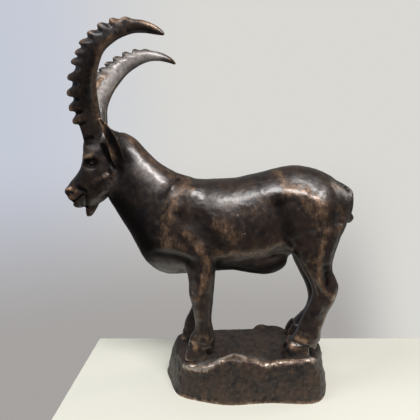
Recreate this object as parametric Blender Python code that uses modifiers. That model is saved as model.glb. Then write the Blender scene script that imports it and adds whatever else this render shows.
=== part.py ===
"""A cast bronze ibex standing with all four feet close together on a small rough rock.

The whole figurine is one casting, so it is one closed solid. The ibex looks along -X, +Z is up,
and the origin is the middle of the rock's flat underside. Blender's unit is the metre.

The forms are given the way a modeller lays them in with clay: tubes through a few sections for
the trunk, head, legs, horns, ears, beard and tail, rounded masses for the muscles, and a rock
with three outlines. A voxel remesh joins them, Smooth modifiers blend the joins, and strokes
drawn on the surface raise the tendons and cut the creases.

Section tables hold millimetres: x along the animal, h above the top of the rock. They are laid
out for TABLE_LENGTH and TABLE_HEIGHT, and stretched to the length and height that are asked for.
"""

import math

import bmesh
import bpy
import numpy as np
from mathutils import Matrix, Vector

MM = 0.001

# Whole figure, in millimetres
LENGTH = 252.6              # from the nose to the tail
HEIGHT = 309.4              # from the rock's underside to the top of the horns

# Rock
BASE_LENGTH = 152.0
BASE_WIDTH = 75.0
BASE_HEIGHT = 38.0
BASE_CENTRE_X = 34.0        # the rock lies behind the middle of the whole figure
BASE_CUT = 6.0              # the rock is modelled this much deeper, then cut flat

# The section tables' own length, height above the rock, and widths
TABLE_LENGTH = 252.6
TABLE_HEIGHT = 271.4
TABLE_TRUNK_WIDTH = 60.0
TABLE_HEAD_WIDTH = 27.0
TABLE_HORN_SPREAD = 49.0
ALONG = LENGTH / TABLE_LENGTH
UP = (HEIGHT - BASE_HEIGHT) / TABLE_HEIGHT

# Widths across the animal
TRUNK_WIDTH = 60.0
HEAD_WIDTH = 27.0
FORE_STANCE = 38.0          # between the middles of the two fore hooves
HIND_STANCE = 38.0
FORELEG_WIDTH = 18.0
HIND_LEG_WIDTH = 19.0
HOOF_CLEFT = 1.6

# Horns, ears, eyes
HORN_WIDTH = 13.0
HORN_SPREAD = 49.0          # from the middle plane to a horn's tip
KNOB_HEIGHT = 5.8
KNOB_BELOW = 2.6            # length of a knob's steep lower side along the horn
KNOB_ABOVE = 5.4            # and of its slack upper side
EAR_SPREAD = 26.0           # from the middle plane to the left ear's tip
EAR_DROOP = 30.0            # degrees that the right ear hangs lower than the left one
EAR_THICKNESS = 3.8
EYE_RADIUS = 3.1
EYE_SPREAD = 21.0           # between the middles of the eyeballs
BEARD_WIDTH = 7.5
TAIL_WIDTH = 13.0

# Fineness of the modelling
SOFT_VOXEL = 2.2
VOXEL = 1.15
SOFT_REACH = 5.5            # how far the soft masses run into each other
BLEND_REACH = 3.6           # and the limbs, head and tail into them
FINISH_REACH = 1.1
RING_POINTS = 40
TRIANGLES = 11400

NAME = "ibex_figurine"


def spline(rows, steps):
    """Points on a Catmull-Rom curve through the rows."""
    rows = np.asarray(rows, float)
    ends = np.vstack([2 * rows[0] - rows[1], rows, 2 * rows[-1] - rows[-2]])
    spans = len(rows) - 1
    places = np.linspace(0, spans, spans * steps + 1)
    index = np.minimum(places.astype(int), spans - 1)
    t = (places - index)[:, None]
    a, b, c, d = (ends[index + k] for k in range(4))
    return 0.5 * (2 * b + (c - a) * t + (2 * a - 5 * b + 4 * c - d) * t ** 2
                  + (3 * b - a - 3 * c + d) * t ** 3)


def unit(vectors):
    return vectors / np.maximum(np.linalg.norm(vectors, axis=-1, keepdims=True), 1e-9)


def tube_rings(rows, steps=6, fullness=2.2, egg=0.0, cup=0.0, ends=(0.6, 0.6), relief=None):
    """Rings of points around a tube.

    A row is (front x, front h, back x, back h, y, half width) and may end with a lean, by which
    the front point lies at a larger y than the back point. The tube's section reaches from the
    front point to the back point and half a width to each side. fullness 2 is an ellipse and
    more is boxier, egg above 0 puts the widest place nearer the front, cup bends a thin section
    into a hollow leaf, and relief(length along the tube) lifts the front face.
    """
    curve = spline([(*row, 0)[:7] for row in rows], steps)
    lean = curve[:, 6] / 2
    front = np.column_stack([ALONG * curve[:, 0], curve[:, 4] + lean,
                             UP * curve[:, 1] + BASE_HEIGHT])
    back = np.column_stack([ALONG * curve[:, 2], curve[:, 4] - lean,
                            UP * curve[:, 3] + BASE_HEIGHT])
    width = curve[:, 5]
    centre = (front + back) / 2
    half = (front - back) / 2
    run = np.gradient(centre, axis=0)
    side = unit(np.cross(run, half))
    ahead = unit(run)
    angle = np.arange(RING_POINTS) * 2 * math.pi / RING_POINTS
    across = np.abs(np.sin(angle)) ** (2 / fullness) * np.sign(np.sin(angle))
    along = np.abs(np.cos(angle)) ** (2 / fullness) * np.sign(np.cos(angle))
    across = across * (1 + egg * along)
    length = np.concatenate([[0], np.cumsum(np.linalg.norm(np.diff(centre, axis=0), axis=1))])
    facing = np.clip((along + 0.15) / 0.75, 0, 1) ** 1.5
    rings = []
    for i in range(len(centre)):
        bend = cup * (along ** 2 - 0.5) * min(1.0, width[i] / 1.5)
        ring = (centre[i] + np.outer(along, half[i])
                + np.outer(across * width[i] + bend, side[i]))
        if relief is not None:
            ring = ring + np.outer(facing * relief(length[i] / UP), unit(half[i]))
        rings.append(ring)
    return rounded_ends(rings, centre, ahead, half, width, ends)


def rounded_ends(rings, centre, ahead, half, width, ends):
    """Adds shrinking rings at both ends of a tube, so that it closes in a dome."""
    closed = list(rings)
    for end, sign, bulge in ((0, -1, ends[0]), (-1, 1, ends[1])):
        reach = bulge * min(np.linalg.norm(half[end]), width[end])
        extra = []
        for turn in (30, 55, 75):
            shrink = math.cos(math.radians(turn))
            push = math.sin(math.radians(turn)) * reach * sign * ahead[end]
            extra.append(centre[end] + (rings[end] - centre[end]) * shrink + push)
        closed = extra[::-1] + closed if end == 0 else closed + extra
    return closed


def add_rings(bm, rings):
    """A closed skin over rings that all have the same number of points."""
    loops = [[bm.verts.new(Vector(point) * MM) for point in ring] for ring in rings]
    faces = []
    for low, high in zip(loops, loops[1:]):
        for k in range(len(low)):
            after = (k + 1) % len(low)
            faces.append(bm.faces.new((low[k], low[after], high[after], high[k])))
    faces.append(bm.faces.new(loops[0][::-1]))
    faces.append(bm.faces.new(loops[-1]))
    bmesh.ops.recalc_face_normals(bm, faces=faces)


def add_mass(bm, x, h, y, radii, tilt=0.0, wide=1.0):
    """A rounded muscle or bone: an ellipsoid, tilted in side view. wide stretches it across."""
    centre = Vector((ALONG * x, wide * y, UP * h + BASE_HEIGHT)) * MM
    stretch = Vector((ALONG * radii[0], wide * radii[1], UP * radii[2])) * MM
    place = (Matrix.Translation(centre) @ Matrix.Rotation(math.radians(tilt), 4, 'Y')
             @ Matrix.Diagonal((*stretch, 1)))
    ball = bmesh.new()
    bmesh.ops.create_uvsphere(ball, u_segments=24, v_segments=16, radius=1, matrix=place)
    mesh = bpy.data.meshes.new("mass")
    ball.to_mesh(mesh)
    ball.free()
    bm.from_mesh(mesh)
    bpy.data.meshes.remove(mesh)


def add_pair(bm, x, h, y, radii, tilt=0.0, wide=1.0):
    """The same mass on both sides of the animal."""
    add_mass(bm, x, h, -y, radii, tilt, wide)
    add_mass(bm, x, h, y, radii, tilt, wide)


def mirrored(rows):
    return [(*row[:4], -row[4], row[5], *(-lean for lean in row[6:])) for row in rows]


def trunk(bm):
    """Rump, barrel, chest and neck as one tube from the rump to behind the ears."""
    half = TRUNK_WIDTH / 2
    rows = [(121, 143, 120, 114, 0, 0.36 * half),
            (113, 149, 113, 99, 0, 0.66 * half),
            (101, 157, 100, 88, 0, 0.85 * half),
            (87, 162, 86, 82, 0, 0.93 * half),
            (72, 164, 71, 86, 0, 0.93 * half),
            (56, 161, 57, 82, 0, 0.91 * half),
            (40, 157, 41, 78, 0, 0.96 * half),
            (22, 153, 23, 76, 0, 0.99 * half),
            (4, 152, 6, 74, 0, 0.99 * half),
            (-10, 152, -8, 70, 0, 0.95 * half),
            (-22, 154, -25, 67, 0, 0.90 * half),
            (-34, 160, -42, 68, 0, 0.82 * half),
            (-46, 168, -57, 78, 0, 0.72 * half),
            (-56, 178, -66, 95, 0, 0.63 * half),
            (-64, 187, -74, 109, 0, 0.56 * half),
            (-71, 191, -81, 121, 0, 0.50 * half),
            (-78, 193, -88, 132, 0, 0.44 * half)]
    add_rings(bm, tube_rings(rows, fullness=2.15, egg=-0.08))
    belly = [(2, 94, 2, 69.5, 0, 0.62 * half),
             (18, 94, 18, 71.5, 0, 0.72 * half),
             (36, 92, 37, 68.5, 0, 0.74 * half),
             (52, 92, 53, 67.5, 0, 0.70 * half),
             (62, 94, 65, 72, 0, 0.55 * half)]
    add_rings(bm, tube_rings(belly, fullness=2.2, ends=(0.8, 0.5)))


def muscles(bm):
    wide = TRUNK_WIDTH / TABLE_TRUNK_WIDTH
    add_pair(bm, -19, 122, 13, (13, 13, 28), tilt=14, wide=wide)      # shoulder blade
    add_pair(bm, -29, 101, 14, (15, 13, 13), tilt=20, wide=wide)      # point of the shoulder
    add_pair(bm, -10, 94, 16, (13, 13, 17), tilt=-35, wide=wide)      # upper arm
    add_mass(bm, -40, 84, 0, (14, 17, 16), tilt=30, wide=wide)        # brisket
    add_pair(bm, 72, 138, 17, (12, 8.5, 10), wide=wide)               # hip bone
    add_pair(bm, 91, 120, 13, (20, 17, 33), tilt=8, wide=wide)        # thigh
    add_pair(bm, 105, 126, 9, (13, 13, 22), tilt=-6, wide=wide)       # back of the thigh
    add_pair(bm, 88, 96, 16, (15, 12, 20), tilt=15, wide=wide)        # stifle


def head(bm):
    half = HEAD_WIDTH / 2
    rows = [(-82, 193, -78, 160, 0, 0.80 * half),
            (-92, 198, -82, 148, 0, 0.94 * half),
            (-102, 196, -88, 138, 0, 1.00 * half),
            (-107.5, 186, -94, 132, 0, 1.00 * half),
            (-109, 174, -100, 129, 0, 0.92 * half),
            (-111.5, 163, -106, 127, 0, 0.78 * half),
            (-116.5, 155, -111, 127, 0, 0.66 * half),
            (-121.5, 149, -116, 128.5, 0, 0.60 * half),
            (-125, 144, -120.5, 132, 0, 0.52 * half)]
    add_rings(bm, tube_rings(rows, fullness=2.3, egg=-0.05, ends=(0.6, 0.35)))
    wide = HEAD_WIDTH / TABLE_HEAD_WIDTH
    add_pair(bm, -101, 170, 9.5, (6, 4.5, 4), tilt=-20, wide=wide)            # brow over the eye
    add_pair(bm, -90, 150, 8, (9, 6, 13), tilt=35, wide=wide)                 # cheek and jaw
    add_pair(bm, -121, 142, 4, (5.5, 4.5, 4), tilt=-40, wide=wide)            # upper lip
    add_mass(bm, -114, 130.5, 0, (6.5, 6, 4), tilt=-15, wide=wide)            # chin
    add_pair(bm, -100, 164.5, EYE_SPREAD / 2, (EYE_RADIUS,) * 3)              # eyeball


def beard(bm):
    half = BEARD_WIDTH / 2
    rows = [(-110, 132, -96, 134, 0, half),
            (-109.5, 127, -98, 129, 0, half),
            (-108.5, 123, -102, 123, 0, 0.8 * half),
            (-106.5, 120, -104, 120, 0, 0.5 * half)]
    add_rings(bm, tube_rings(rows))


def ear_rings(lift):
    """The left ear: a leaf, hollow on its outer face."""
    half = EAR_THICKNESS / 2
    root = HEAD_WIDTH / 2 - 3
    lean = EAR_SPREAD - root
    rows = [(-80, 158, -75, 158, -root, 1.6 * half),
            (-80.5, 164, -72, 165, -root - 0.16 * lean, 1.2 * half),
            (-82, 173, -72, 174, -root - 0.40 * lean, half),
            (-84, 184, -75, 185, -root - 0.66 * lean, half),
            (-86.5, 194, -80.5, 195, -root - 0.88 * lean, 0.9 * half),
            (-88.5, 201, -86.5, 201.5, -EAR_SPREAD, 0.6 * half)]
    return tube_rings(rows, cup=lift, ends=(0.3, 0.3))


def ears(bm):
    """The right ear is the left one mirrored and turned down about its root."""
    left = ear_rings(2.4)
    add_rings(bm, left)
    droop = math.radians(EAR_DROOP)
    root = np.array([-78 * ALONG, HEAD_WIDTH / 2 - 3, 158 * UP + BASE_HEIGHT])
    turn = np.array([[1, 0, 0],
                     [0, math.cos(droop), math.sin(droop)],
                     [0, -math.sin(droop), math.cos(droop)]])
    add_rings(bm, [root + (ring * (1, -1, 1) - root) @ turn.T for ring in left])


def knobs(length):
    """Height of the horn's front ridges at a length along it, steep below and slack above."""
    places = (20.5, 30.5, 41.5, 53.5, 66, 74, 81.5, 88.5, 96, 104, 111.5)
    shares = (0.75, 0.95, 1.0, 1.0, 1.0, 0.8, 0.9, 0.85, 0.85, 0.75, 0.55)
    height = 0.0
    for place, share in zip(places, shares):
        away = length - place
        reach = KNOB_BELOW if away < 0 else KNOB_ABOVE
        height = max(height, share * KNOB_HEIGHT * max(0.0, 1 - abs(away) / reach) ** 0.9)
    return height


def horns(bm):
    """Two horns that curve up, out and back; their front faces turn a little to the middle."""
    half = HORN_WIDTH / 2
    out = HORN_SPREAD / TABLE_HORN_SPREAD
    rows = [(-106, 183, -91, 184, -8.5 * out, half, 1),
            (-107.5, 192, -90.5, 198, -9.5 * out, half, 2),
            (-111, 204, -91, 210, -11 * out, 0.98 * half, 5),
            (-111.5, 216, -91, 217, -15 * out, 0.96 * half, 8),
            (-109.5, 229, -89.5, 226.5, -23 * out, 0.92 * half, 10),
            (-103.5, 241, -86, 236, -31 * out, 0.88 * half, 11),
            (-94, 253, -79, 247.5, -40 * out, 0.84 * half, 8.5),
            (-80, 263, -70, 254.5, -43.5 * out, 0.76 * half, 5),
            (-64, 269, -58, 259.3, -44.5 * out, 0.66 * half, 1),
            (-50, 269, -47.5, 260, -45.5 * out, 0.56 * half, -3),
            (-39.5, 265, -39, 258.5, -46.5 * out, 0.45 * half, -3),
            (-32, 259.5, -32.5, 257.5, -49 * out, 0.25 * half, 0)]
    for side in (rows, mirrored(rows)):
        add_rings(bm, tube_rings(side, steps=14, fullness=2.4, ends=(0.2, 0.5), relief=knobs))


def leg(bm, rows, side, stance, width):
    """A leg; y and half width in its rows are shares of half the stance and of half its width."""
    placed = [(*row[:4], side * row[4] * stance / 2, row[5] * width / 2) for row in rows]
    add_rings(bm, tube_rings(placed, fullness=2.3, ends=(0.5, 0.3)))


def hoof(bm, toe, heel, side, stance, width, pitch):
    """Two claws with the cleft between them, and two dewclaws above the heel."""
    claw = width / 4 - HOOF_CLEFT / 4 + 0.3
    for half in (-1, 1):
        y = side * stance / 2 + half * (HOOF_CLEFT / 2 + claw)
        turn = half * 0.6
        rows = [(toe + 5.5, 11 + pitch, heel - 1.0, 7.5, y - turn, 0.8 * claw),
                (toe + 2.6, 6.5 + pitch, heel - 0.5, 3.5, y, claw),
                (toe, 0.5 + pitch, heel, -1, y, 1.06 * claw),
                (toe - 0.3, -3, heel - 0.5, -4, y, claw)]
        add_rings(bm, tube_rings(rows, fullness=2.6, ends=(0.3, 0.2)))
        add_mass(bm, heel + 3.0, 9.5, side * stance / 2 + half * 0.24 * width, (3.2, 2.6, 3.6), tilt=-25)


def forelegs(bm):
    near = [(-27, 98, 4, 100, 0.72, 1.25),
            (-22, 82, 7, 86, 0.84, 1.22),
            (-18.5, 66, 5, 74, 0.95, 1.10),
            (-18, 55, 4, 61, 1, 0.98),
            (-15.5, 44, 2.5, 47, 1, 0.95),
            (-14, 36, 1.5, 37, 1, 0.84),
            (-13, 28, 1.5, 29, 1, 0.76),
            (-14, 21, 3, 21, 1, 0.80),
            (-17.5, 15, 4.5, 14, 1, 0.94),
            (-19, 8, 4, 8, 1, 1.0)]
    far = [(-27, 98, 4, 100, 0.72, 1.25),
           (-24, 80, 4, 86, 0.84, 1.22),
           (-21, 66, 3, 74, 0.95, 1.10),
           (-18, 55, 2, 61, 1, 0.98),
           (-16, 44, 0, 47, 1, 0.95),
           (-17, 36, -2, 37, 1, 0.84),
           (-17.5, 28, -2.5, 29, 1, 0.76),
           (-20.5, 21, -1.5, 21, 1, 0.80),
           (-23.5, 15, 0, 14, 1, 0.94),
           (-25, 8, -1, 8, 1, 1.0)]
    leg(bm, near, -1, FORE_STANCE, FORELEG_WIDTH)
    leg(bm, far, 1, FORE_STANCE, FORELEG_WIDTH)
    hoof(bm, -21, -2, -1, FORE_STANCE, FORELEG_WIDTH, 0)
    hoof(bm, -27, -7, 1, FORE_STANCE, FORELEG_WIDTH, 0)


def hind_legs(bm):
    near = [(70, 106, 114, 113, 0.78, 1.62),
            (73, 90, 109, 98, 0.88, 1.42),
            (78, 77, 105, 86, 0.96, 1.16),
            (84, 67, 104, 76, 1, 0.98),
            (87.5, 59, 107.5, 68, 1, 0.93),
            (88, 52, 110, 60, 1, 0.90),
            (85.5, 45, 107.5, 50, 1, 0.86),
            (82, 37, 103, 40, 1, 0.80),
            (79, 30, 99.5, 31, 1, 0.78),
            (76.5, 23, 97, 22, 1, 0.82),
            (73.5, 17, 96, 13, 1, 0.92),
            (70, 11, 90, 8, 1, 0.98)]
    far = [(70, 106, 114, 113, 0.78, 1.62),
           (74, 88, 110, 98, 0.88, 1.42),
           (79, 74, 108, 84, 0.96, 1.16),
           (84.5, 64, 109, 73, 1, 0.98),
           (89.5, 54, 113, 63, 1, 0.93),
           (93, 45, 116, 53, 1, 0.90),
           (94.5, 36, 114, 41, 1, 0.84),
           (93, 29, 112, 31, 1, 0.78),
           (90, 23, 108.5, 22, 1, 0.80),
           (85, 18, 105, 13, 1, 0.92),
           (80, 13, 99, 8, 1, 0.98)]
    leg(bm, near, -1, HIND_STANCE, HIND_LEG_WIDTH)
    leg(bm, far, 1, HIND_STANCE, HIND_LEG_WIDTH)
    hoof(bm, 64, 86, -1, HIND_STANCE, HIND_LEG_WIDTH, 2)
    hoof(bm, 74, 95, 1, HIND_STANCE, HIND_LEG_WIDTH, 2)


def tail(bm):
    """A short tuft that hugs the rump."""
    half = TAIL_WIDTH / 2
    rows = [(110, 151, 110, 141, 0, half),
            (119, 146, 115, 137, 0, half),
            (125, 140, 118, 133, 0, 0.92 * half),
            (125.5, 132, 118, 127, 0, 0.75 * half),
            (125.5, 124, 118, 122, 0, 0.72 * half),
            (127, 118, 120, 116, 0, 0.75 * half),
            (125, 114, 121, 113.5, 0, 0.5 * half)]
    add_rings(bm, tube_rings(rows))


def rock(bm):
    """The rock: outlines of its foot, waist, rim and top, joined from the bottom up.

    The outlines run around the rock from its front left corner, seen from above. x and y are
    shares of half the length and half the width, and the rim's third number is millimetres
    above or below the top.
    """
    foot = [(-0.82, -0.60), (-0.58, -0.84), (-0.24, -1.00), (0.21, -0.92), (0.68, -0.95),
            (0.86, -0.71), (0.96, -0.20), (1.00, 0.33), (0.95, 0.81), (0.47, 0.97),
            (-0.18, 1.00), (-0.84, 0.92), (-1.00, 0.55), (-0.93, -0.04)]
    waist = [(-0.76, -0.68), (-0.55, -0.88), (-0.24, -0.98), (0.21, -0.94), (0.68, -0.93),
             (0.83, -0.71), (0.92, -0.20), (0.96, 0.33), (0.91, 0.81), (0.47, 0.97),
             (-0.18, 1.00), (-0.80, 0.92), (-0.95, 0.57), (-0.87, -0.04)]
    rim = [(-0.69, -0.82, -3), (-0.49, -0.88, -6), (-0.27, -0.90, 4), (0.16, -0.88, -2),
           (0.63, -0.86, 0), (0.75, -0.68, 1), (0.85, -0.20, 0), (0.92, 0.33, -3),
           (0.86, 0.81, -1), (0.47, 0.93, -1), (-0.18, 0.93, -1), (-0.78, 0.86, -3),
           (-0.89, 0.57, -4), (-0.83, -0.06, -6)]
    along = BASE_LENGTH / 2
    out = BASE_WIDTH / 2
    levels = [[(x, y, -BASE_CUT) for x, y in foot],
              [(x, y, 0) for x, y in foot],
              [(x, y, 0.45 * BASE_HEIGHT) for x, y in waist],
              [(x, y, BASE_HEIGHT + h - 2.5) for x, y, h in rim],
              [(0.88 * x, 0.85 * y, BASE_HEIGHT + 0.5 * h) for x, y, h in rim],
              [(0.45 * x, 0.45 * y, BASE_HEIGHT + 0.5) for x, y, h in rim]]
    rings = []
    for level in levels:
        ring = spline(level[-1:] + level + level[:2], 5)[5:-6]
        rings.append(np.column_stack([BASE_CENTRE_X + along * ring[:, 0], out * ring[:, 1],
                                      ring[:, 2]]))
    add_rings(bm, rings)
    add_mass(bm, 0.72 * along, -1, 0.85 * out, (11, 7, 4))


def blocked_in(forms, skin=None):
    """The forms in one mesh, still as separate overlapping bodies, with a skin to join them to."""
    bm = bmesh.new()
    if skin is not None:
        bm.from_mesh(skin)
    for form in forms:
        form(bm)
    mesh = bpy.data.meshes.new(NAME)
    bm.to_mesh(mesh)
    bm.free()
    return mesh


def applied(mesh, add_modifiers):
    """A copy of a mesh with the modifiers that add_modifiers puts on its object."""
    worker = bpy.data.objects.new("worker", mesh)
    bpy.context.scene.collection.objects.link(worker)
    add_modifiers(worker)
    evaluated = worker.evaluated_get(bpy.context.evaluated_depsgraph_get())
    result = bpy.data.meshes.new_from_object(evaluated)
    bpy.data.objects.remove(worker)
    return result


def joined(mesh, voxel):
    """The forms joined into one skin by a voxel remesh."""
    def modifiers(worker):
        remesh = worker.modifiers.new("join", 'REMESH')
        remesh.mode = 'VOXEL'
        remesh.voxel_size = voxel * MM
    return applied(mesh, modifiers)


def points_of(mesh):
    points = np.empty(len(mesh.vertices) * 3)
    mesh.vertices.foreach_get("co", points)
    return points.reshape(-1, 3) / MM


def normals_of(mesh):
    normals = np.empty(len(mesh.vertices) * 3)
    mesh.vertices.foreach_get("normal", normals)
    return normals.reshape(-1, 3)


def ramp(values, start, end):
    """0 before start, 1 after end, and a smooth step between; start may be the larger."""
    t = np.clip((values - start) / (end - start), 0, 1)
    return t * t * (3 - 2 * t)


def smoothed(mesh, weights, reach, voxel):
    """Blends the joins over a reach in millimetres, more where the weights are near 1."""
    def modifiers(worker):
        group = worker.vertex_groups.new(name="blend")
        levels = np.round(np.clip(weights, 0, 1) * 10).astype(int)
        for level in range(1, 11):
            chosen = np.flatnonzero(levels == level).tolist()
            if chosen:
                group.add(chosen, level / 10, 'REPLACE')
        smooth = worker.modifiers.new("blend", 'SMOOTH')
        smooth.factor = 0.5
        smooth.iterations = max(1, round(2 * (reach / voxel) ** 2))
        smooth.vertex_group = "blend"
    return applied(mesh, modifiers)


def body_weight(points):
    """How soft each place is: the trunk is soft, the feet, head and horns are crisp."""
    x = points[:, 0] / ALONG
    h = (points[:, 2] - BASE_HEIGHT) / UP
    weight = ramp(h, 48, 84)
    weight = weight * ramp(x, -88, -72)
    weight = weight * (1 - 0.85 * ramp(x, 108, 118))
    near_ear = ramp(x, -66, -72) * ramp(h, 148, 156)
    return weight * (1 - near_ear)


def stroke(points, normals, line, width, height):
    """Raises or cuts the skin of both flanks along a line drawn in side view."""
    line = np.asarray(line, float) * (ALONG, UP) + (0, BASE_HEIGHT)
    flat = points[:, [0, 2]]
    nearest = np.full(len(points), np.inf)
    for a, b in zip(line, line[1:]):
        t = np.clip(((flat - a) @ (b - a)) / ((b - a) @ (b - a)), 0, 1)
        nearest = np.minimum(nearest, np.linalg.norm(flat - a - t[:, None] * (b - a), axis=1))
    outward = ramp(normals[:, 1] * np.sign(points[:, 1]), 0.05, 0.5)
    bump = np.clip(1 - (nearest / width) ** 2, 0, 1) ** 2
    return points + normals * (height * bump * outward)[:, None]


STROKES = [
    # line in side view (x, h), half width, height
    ([(-26, 152), (-35, 141), (-42, 126), (-47, 110)], 9, -1.7),            # before the shoulder
    ([(-19, 151), (-28, 136), (-34, 116), (-37, 102)], 8, 1.0),             # shoulder blade edge
    ([(-20, 109), (-9, 96), (-3, 85), (-2, 76), (-5, 62)], 6, 1.5),         # upper arm ridge
    ([(-10, 120), (-1, 109), (8, 98)], 11, -2.0),                           # behind the shoulder
    ([(-46, 97), (-32, 97), (-20, 94), (-11, 86)], 5, 1.0),                 # lower shoulder edge
    ([(-46, 89), (-31, 88), (-20, 85), (-14, 78)], 5, -1.3),
    ([(8, 92), (30, 90), (48, 92), (62, 102)], 6, 0.8),                     # edge of the flank
    ([(10, 83), (30, 81), (48, 83), (60, 92)], 6, -0.8),
    ([(57, 138), (60, 124), (64, 112), (68, 103)], 11, -2.4),               # before the thigh
    ([(62, 142), (76, 139), (88, 131)], 6, 0.9),                            # edge of the hip
    ([(73, 94), (80, 82), (86, 70), (90, 58)], 4, 0.8),                     # shin
    ([(96, 84), (98, 70), (103, 62), (107, 55)], 3, 1.2),                   # hock tendon
    ([(103, 86), (104.5, 74), (107, 66)], 3.5, -1.6),
    ([(-104, 168), (-98, 169.5), (-93, 166)], 2.2, 0.9),                    # upper eyelid
    ([(-104, 161), (-98, 159.5), (-93, 162)], 2.4, -1.0),                   # under the eye
    ([(-96, 148), (-90, 153), (-82, 157)], 3.4, 0.9),                       # cheek bone
    ([(-121, 133), (-115, 136), (-110, 137.5)], 1.6, -1.5),                 # mouth
    ([(-121, 144), (-118, 142)], 1.6, -1.3),                                # nostril
    ([(-112, 144), (-107, 141)], 3.2, -1.3),                                # behind the nostril
]


def carved(mesh):
    """The mesh with every stroke drawn on it."""
    for line, width, height in STROKES:
        points = stroke(points_of(mesh), normals_of(mesh), line, width, height)
        mesh.vertices.foreach_set("co", (points * MM).ravel())
        mesh.update()
    return mesh


def reduced(mesh, triangles):
    """The mesh thinned to a number of triangles, with the most left where it curves most."""
    def modifiers(worker):
        mesh.calc_loop_triangles()
        thin = worker.modifiers.new("thin", 'DECIMATE')
        thin.ratio = min(1.0, triangles / len(mesh.loop_triangles))
        thin.use_collapse_triangulate = True
    return applied(mesh, modifiers)


def cut_flat(mesh):
    """Cuts the rock's underside flat at height zero."""
    bm = bmesh.new()
    bm.from_mesh(mesh)
    cut = bmesh.ops.bisect_plane(bm, geom=bm.verts[:] + bm.edges[:] + bm.faces[:],
                                 plane_co=(0, 0, 0), plane_no=(0, 0, -1), clear_outer=True)
    rim = [item for item in cut["geom_cut"] if isinstance(item, bmesh.types.BMEdge)]
    bmesh.ops.contextual_create(bm, geom=rim)
    for edge in rim:
        edge.smooth = False
    bmesh.ops.recalc_face_normals(bm, faces=bm.faces[:])
    bm.to_mesh(mesh)
    bm.free()
    return mesh


def bronze():
    """Dark brown patinated bronze."""
    material = bpy.data.materials.new("patinated_bronze")
    material.use_nodes = True
    shader = material.node_tree.nodes["Principled BSDF"]
    shader.inputs["Base Color"].default_value = (0.045, 0.030, 0.022, 1)
    shader.inputs["Metallic"].default_value = 0.85
    shader.inputs["Roughness"].default_value = 0.36
    material.diffuse_color = (0.20, 0.13, 0.09, 1)
    return material


def sculpted(triangles):
    """The figure: soft masses first, then the crisp forms, the blending and the strokes."""
    soft = joined(blocked_in([trunk, muscles]), SOFT_VOXEL)
    soft = smoothed(soft, np.ones(len(soft.vertices)), SOFT_REACH, SOFT_VOXEL)
    crisp = [rock, head, beard, ears, horns, forelegs, hind_legs, tail]
    skin = joined(blocked_in(crisp, soft), VOXEL)
    skin = smoothed(skin, body_weight(points_of(skin)), BLEND_REACH, VOXEL)
    skin = carved(skin)
    skin = smoothed(skin, np.full(len(skin.vertices), 0.6), FINISH_REACH, VOXEL)
    skin = reduced(skin, triangles)
    return cut_flat(skin)


def main():
    for old in list(bpy.data.objects):
        bpy.data.objects.remove(old, do_unlink=True)
    collection = bpy.data.collections.new("ibex_figurine_parts")
    bpy.context.scene.collection.children.link(collection)
    mesh = sculpted(TRIANGLES)
    mesh.name = NAME
    mesh.materials.append(bronze())
    mesh.shade_smooth()
    collection.objects.link(bpy.data.objects.new(NAME, mesh))


main()
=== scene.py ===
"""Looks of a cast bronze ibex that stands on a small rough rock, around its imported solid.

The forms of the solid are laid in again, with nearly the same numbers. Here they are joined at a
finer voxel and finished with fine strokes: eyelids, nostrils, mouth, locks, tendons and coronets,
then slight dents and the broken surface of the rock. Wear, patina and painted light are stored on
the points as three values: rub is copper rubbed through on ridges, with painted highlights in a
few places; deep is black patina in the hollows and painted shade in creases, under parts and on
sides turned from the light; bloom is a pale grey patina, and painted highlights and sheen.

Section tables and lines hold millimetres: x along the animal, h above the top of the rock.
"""

import math

import bmesh
import bpy
import numpy as np
from mathutils import Matrix, Vector, noise


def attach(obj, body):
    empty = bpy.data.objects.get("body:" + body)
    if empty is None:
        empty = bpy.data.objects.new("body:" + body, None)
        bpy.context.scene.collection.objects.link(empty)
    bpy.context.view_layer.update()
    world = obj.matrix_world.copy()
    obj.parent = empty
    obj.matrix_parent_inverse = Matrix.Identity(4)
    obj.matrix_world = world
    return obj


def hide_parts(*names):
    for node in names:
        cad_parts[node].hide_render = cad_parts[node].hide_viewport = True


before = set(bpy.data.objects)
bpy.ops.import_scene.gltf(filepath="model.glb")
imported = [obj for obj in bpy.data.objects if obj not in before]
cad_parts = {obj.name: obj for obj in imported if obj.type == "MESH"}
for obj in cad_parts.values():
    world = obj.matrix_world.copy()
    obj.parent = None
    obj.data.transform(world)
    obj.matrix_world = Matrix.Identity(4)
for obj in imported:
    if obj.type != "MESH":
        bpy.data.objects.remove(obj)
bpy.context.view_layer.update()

MM = 0.001

# Rock, in millimetres
BASE_LENGTH = 152.0
BASE_WIDTH = 75.0
BASE_HEIGHT = 38.0
BASE_CENTRE_X = 34.0  # the rock lies behind the middle of the whole figure
BASE_CUT = 6.0  # the rock is modelled this much deeper, then cut flat

# Widths across the animal
TRUNK_WIDTH = 60.0
HEAD_WIDTH = 27.0
FORE_STANCE = 38.0  # between the middles of the two fore hooves
HIND_STANCE = 38.0
FORELEG_WIDTH = 18.0
HIND_LEG_WIDTH = 19.0
HOOF_CLEFT = 1.6

# Horns, ears, eyes
HORN_WIDTH = 13.0
KNOB_HEIGHT = 5.8
KNOB_BELOW = 3.2  # length of a knob's steep lower side along the horn
KNOB_ABOVE = 5.8  # and of its slack upper side
KNOB_BITE = 2.0  # depth of the dark bite in the horn's side below a knob
KNOB_BITE_AT = 4.0
KNOB_BITE_REACH = 3.4
EAR_SPREAD = 26.0  # from the middle plane to the left ear's tip
EAR_DROOP = 30.0  # degrees that the right ear hangs lower than the left one
EAR_THICKNESS = 3.8
EYE_RADIUS = 2.7
EYE_SPREAD = 21.0  # between the middles of the eyeballs
BEARD_WIDTH = 7.5
TAIL_WIDTH = 13.0

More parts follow.
